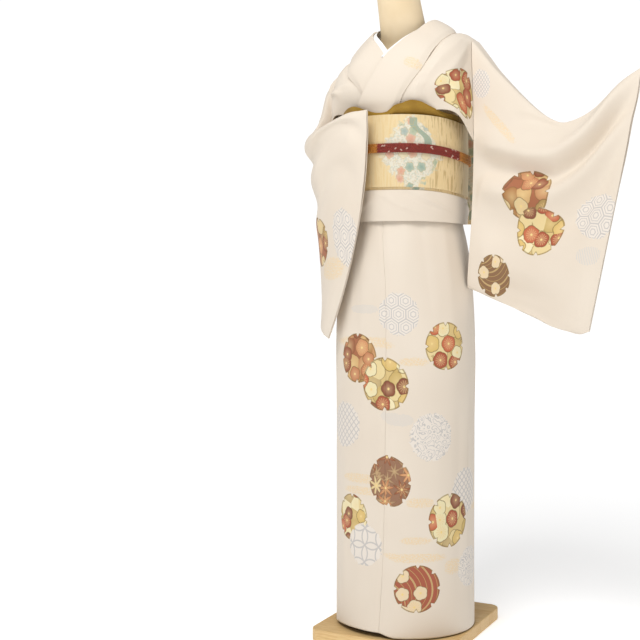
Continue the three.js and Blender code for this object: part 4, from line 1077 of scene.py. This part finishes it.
def obi_skin(lift, foot, top):
    def skin(u, v):
        turn = -180 + 360 * u
        height = foot + (top - foot) * v
        bow = OBI_BOW * np.sin(np.pi * clamp((height - OBI_FOOT) / OBI_TALL))
        return outline(WAIST, height - lower_behind(turn), turn, lift + bow)
    return skin


for label, lift, foot, top in (
    ("under", UNDER_LIFT, OBI_FOOT, OBI_FOOT + OBI_TALL - TOP_STEP),
    ("outer", OUTER_LIFT, OBI_FOOT + FOOT_STEP, OBI_FOOT + OBI_TALL),
):
    mesh = cloth(f"silk_obi_{label}", obi_skin(lift, foot, top), 200, 30, thick=OBI_THICK, closed=True)
    hung(mesh, brocade, "brocade", f"obi_{label}_wrap")

# The drum knot behind: the band passes over the pad, hangs in a flat loop and turns up inside it, and its
# tail shows below. Both are profiles seen from the side, swept across the back.
DRUM_THICK, DRUM_HALF, TAIL_HALF = 4, 112, 109
DRUM_CREASES = [(0.12, 0.25, 0.2, 0.6, 0.01, 0.03, -0.8), (0.88, 0.3, 0.8, 0.62, 0.01, 0.03, -0.8)]
DRUM = [
    (0, 118, 1076), (0.06, 134, 1076.4), (0.12, 149, 1070.4), (0.2, 160, 1053), (0.34, 171, 1014),
    (0.48, 174, 966), (0.62, 169, 916), (0.69, 159, 895), (0.74, 147, 889), (0.79, 135.2, 897),
    (0.87, 130.6, 930), (1, 130.1, 985),
]
TAIL = [(0, 129.5, 988), (0.5, 129.5, 915), (1, 132, 842)]


def swept(rows, half):
    def skin(u, v):
        x = half * (2 * u - 1)
        y, z = along(rows, v).T
        return np.stack([x, y - 3 * (x / half) ** 2 * hump(v, 0.45, 0.2), z], -1)
    return skin


for label, rows, half, down, creases, cut in (
    ("drum", DRUM, DRUM_HALF, 120, DRUM_CREASES, (0.224, 0.333)),
    ("tail", TAIL, TAIL_HALF, 30, [], (0.218, 0.146)),
):
    mesh = cloth(f"brocade_{label}", creased(swept(rows, half), creases), 60, down, thick=DRUM_THICK)
    hung(mesh, brocade, "brocade", f"obi_{label}")

# The sash: mustard crepe tucked in along the top of the obi, rising in soft folds at the sides, and wrapped
# over the pad that holds up the knot behind.
mustard, start, shader = finish("mustard_crepe", Specular_IOR_Level=0.25, Sheen_Weight=0.15)
place = start.read("cloth")
crepe = place.noise(900, 3, (1, 0.5, 1))
cloud = place.noise(22, 2)
ground = cloud.ease(0.3, 0.7).over(dye(144, 108, 32), dye(172, 136, 48))
ground = (crepe.ease(0.4, 0.65) * 0.3).over(ground, dye(124, 94, 30))
feed(shader, Base_Color=ground, Roughness=0.6 + crepe * 0.15, Normal=crepe.relief(0.4, 0.0004))

SASH_TUCKED, SASH_THICK = 12, 2.4
# Degrees round the body with how far the sash rises over the obi, and then how much further it rises and
# puffs out in front
SASH_RISE = [
    (-180, 5), (-120, 6), (-90, 12), (-66, 13), (-52, 8), (-40, 6), (-32, 4), (18, 4), (28, 12), (36, 12),
    (46, 6), (58, 6), (76, 14), (100, 14), (120, 6), (180, 5),
]
SASH_PUFF = [
    (-180, 0, 0), (-82, 0, 0), (-74, 4, 3), (-62, 6, 6), (-46, 13, 8), (-30, 19, 8.5), (-16, 10, 5),
    (-5, 3, 1), (6, 4, 1), (14, 15, 6), (22, 17, 8.5), (32, 15, 8.5), (42, 13, 8.5), (50, 10, 8),
    (58, 6, 5), (68, 2, 1), (90, 0, 0), (180, 0, 0),
]


def sash_skin(u, v):
    """Its face, which puffs out in front over the obi's edge each side of the crossed collars."""
    turn = -180 + 360 * u
    higher, proud = along(SASH_PUFF, turn).T
    rise = along(SASH_RISE, turn)[:, 0] + higher
    top = OBI_FOOT + OBI_TALL - lower_behind(turn)
    out = proud * ease((v - (SASH_TUCKED - 1) / (rise + SASH_TUCKED)) / 0.35)
    return outline(WAIST, top - SASH_TUCKED + (rise + SASH_TUCKED) * v, turn, -0.4 + out)


SASH_CREASES = [
    (0.5, 0.45, 0.72, 0.8, 0.02, 0.1, 1.2), (0.5, 0.3, 0.78, 0.55, -0.02, 0.08, -1.0),
    (0.28, 0.8, 0.5, 0.5, 0.02, 0.1, 1.2), (0.22, 0.55, 0.45, 0.35, 0.02, 0.08, -1.0),
]
skin = creased(sash_skin, SASH_CREASES, closed=True)
mesh = cloth("crepe_sash", skin, 220, 20, thick=SASH_THICK, closed=True)
hung(mesh, mustard, "sash", "obiage_sash")

# The pad: a small bolster wrapped in the end of the sash, which holds the drum of the knot up. Its cover is
# gathered in fine puckers towards the ends.
PAD_HALF, PAD_DEEP, PAD_TALL, PAD_Y, PAD_Z, PAD_SIDES = 92, 17.8, 17, 130.2, 1055, 40
pad_x = np.sin(np.linspace(-0.5, 0.5, 41) * np.pi * 0.97) * PAD_HALF
pad_size = (1 - (pad_x / PAD_HALF) ** 6)[:, None] ** 0.4
spin = np.linspace(0, 2 * np.pi, PAD_SIDES, endpoint=False)
pucker = 1 - 0.012 * (1 + np.cos(spin * 9)) * hump(np.abs(pad_x)[:, None], PAD_HALF, 40)
rings = np.stack([
    np.repeat(pad_x[:, None], PAD_SIDES, 1),
    PAD_Y + PAD_DEEP * pad_size * pucker * np.cos(spin),
    PAD_Z + PAD_TALL * pad_size * pucker * np.sin(spin),
], -1)
piece = placed(lofted("crepe_pad", rings), mustard, "sash", "obiage_pad")

# The cord: a flat braid tied round the middle of the obi, rust red in front with pale flecks and ochre
# towards its ends. Its strands are laid over and under in slanting rows along a flattened core.
CORD_TALL, CORD_THICK, CORD_Z, CORD_TILT, CORD_GAP = 19, 5, 984, 17, 0.3
CORE_INSET, STRAND_INSET, STRAND_SLANT = 0.8, 0.7, 38
SQUARED = 0.7  # 1 is an oval section, and less is squarer
RED_MIDDLE = 0.66  # where the red part has its middle, in radians from the front
STRAND = {"Strand Length": 0.0056, "Strand Width": 0.0026, "Strand Height": 0.002}
LANES, ROWS, CORE_SPANS, CORE_SIDES = 6, 190, 180, 16


def cord_point(turn, spin, inset):
    """A point of the cord's skin, or of one that lies inset within it."""
    thick, tall = CORD_THICK - 2 * inset, CORD_TALL - 2 * inset
    across, up = (np.sign(side) * np.abs(side) ** SQUARED for side in (np.cos(spin), np.sin(spin)))
    out = OUTER_LIFT + OBI_BOW + CORD_GAP + inset + thick / 2 * (1 + across)
    return outline(WAIST, CORD_Z - lower_behind(turn, CORD_TILT) + tall / 2 * up, turn, out)


braid, start, shader = finish("silk_braid", Specular_IOR_Level=0.35, Sheen_Weight=0.15)
place = start.read("braid")
around, _, chance = place.parts()
fibre = place.read("Object").noise(1800, 1)
front = abs(around - RED_MIDDLE).ease(0.7, 0.66)
rust = (chance * 0.9).over(dye(142, 46, 30), dye(112, 32, 21))
ochre = chance.over(dye(184, 116, 36), dye(208, 142, 52))
ground = front.over(ochre, rust)
fleck = front * (chance > 0.94)
ground = (fleck * 0.85).over(ground, dye(222, 190, 172))
ground = (fibre * 0.2).over(ground, dye(84, 26, 16))
feed(shader, Base_Color=ground, Roughness=0.45 + fibre * 0.2, Normal=fibre.relief(0.3, 0.0003))

turns, spins = (np.linspace(low, high, count, endpoint=False)
                for low, high, count in ((-180, 180, CORE_SPANS), (0, 2 * np.pi, CORE_SIDES)))
turns, spins = (grid.ravel() for grid in np.meshgrid(turns, spins, indexing="ij"))
core = cord_point(turns, spins, CORE_INSET)
core_mesh = lofted("braid_core", core.reshape(CORE_SPANS, CORE_SIDES, 3), closed=True)


def noted(mesh, label, values):
    """Writes a vector to each point of a mesh."""
    layer = mesh.attributes.new(label, "FLOAT_VECTOR", "POINT")
    layer.data.foreach_set("vector", values.astype(np.float32).ravel())


noted(core_mesh, "braid", np.stack([np.radians(turns), 0 * turns, 0 * turns], -1))

# The strands' places: a point for each, which way it lies, and how far round the body it is
places, turned, marks = [], [], []
rng = np.random.default_rng(7)
for side in (0, 1):
    for lane in range(LANES):
        turn = -180 + 360 * (np.arange(ROWS) + 0.5 * (lane % 2)) / ROWS
        share = (lane + 0.5) / LANES * 2 - 1
        spin = np.full(ROWS, math.asin(np.sign(share) * abs(share) ** (1 / SQUARED)))
        spin = spin if side == 0 else np.pi - spin
        spot = cord_point(turn, spin, STRAND_INSET)
        ahead = cord_point(turn + 0.5, spin, STRAND_INSET) - spot
        places.append(spot)
        slant = math.radians(STRAND_SLANT if lane % 2 else -STRAND_SLANT)
        heading = np.arctan2(ahead[:, 1], ahead[:, 0])
        turned.append(np.stack([np.zeros(ROWS), np.full(ROWS, slant), heading], -1))
        marks.append(np.stack([np.radians(turn), np.full(ROWS, lane / LANES), rng.random(ROWS)], -1))
strands = bpy.data.meshes.new("strands")
strands.from_pydata((np.concatenate(places) / 1000).tolist(), [], [])
noted(strands, "lie", np.concatenate(turned))
noted(strands, "braid", np.concatenate(marks))
strand_places = bpy.data.objects.new("strand_places", strands)
scene.collection.objects.link(strand_places)

weave = bpy.data.node_groups.new("braid", "GeometryNodeTree")
weave.interface.new_socket("Places", in_out="INPUT", socket_type="NodeSocketGeometry")
sizes = {}
for label, value in STRAND.items():
    sizes[label] = weave.interface.new_socket(label, in_out="INPUT", socket_type="NodeSocketFloat")
    sizes[label].default_value = value
weave.interface.new_socket("Braid", in_out="OUTPUT", socket_type="NodeSocketGeometry")


def knot(kind, settings, sockets):
    """A new node of the braid's tree, with its settings and its sockets' values or links."""
    made = weave.nodes.new(kind)
    for name, value in settings.items():
        setattr(made, name, value)
    for name, value in sockets.items():
        if isinstance(value, bpy.types.NodeSocket):
            weave.links.new(value, made.inputs[name])
        else:
            made.inputs[name].default_value = value
    return made


given = weave.nodes.new("NodeGroupInput").outputs
bead = knot("GeometryNodeMeshUVSphere", {}, {"Segments": 8, "Rings": 6, "Radius": 0.5})
shape = knot("ShaderNodeCombineXYZ", {}, {0: given["Strand Length"], 1: given["Strand Height"],
                                          2: given["Strand Width"]})
lie = knot("GeometryNodeInputNamedAttribute", {"data_type": "FLOAT_VECTOR"}, {"Name": "lie"})
laid = knot("GeometryNodeInstanceOnPoints", {}, {
    "Points": given["Places"], "Instance": bead.outputs["Mesh"], "Rotation": lie.outputs["Attribute"],
    "Scale": shape.outputs[0],
})
real = knot("GeometryNodeRealizeInstances", {}, {"Geometry": laid.outputs["Instances"]})
soft = knot("GeometryNodeSetShadeSmooth", {}, {"Geometry": real.outputs["Geometry"]})
dressed = knot("GeometryNodeSetMaterial", {}, {"Geometry": soft.outputs["Geometry"], "Material": braid})
knot("NodeGroupOutput", {}, {0: dressed.outputs["Geometry"]})
weaving = strand_places.modifiers.new("braid", "NODES")
weaving.node_group = weave
for label, value in STRAND.items():
    weaving[sizes[label].identifier] = value
depsgraph = bpy.context.evaluated_depsgraph_get()
braided = bpy.data.meshes.new_from_object(strand_places.evaluated_get(depsgraph))
bpy.data.objects.remove(strand_places)
braided.name = "braid_strands"
braided.materials.clear()
placed(braided, braid, "cord", "obijime_cord")
placed(core_mesh, braid, "cord", "obijime_cord")
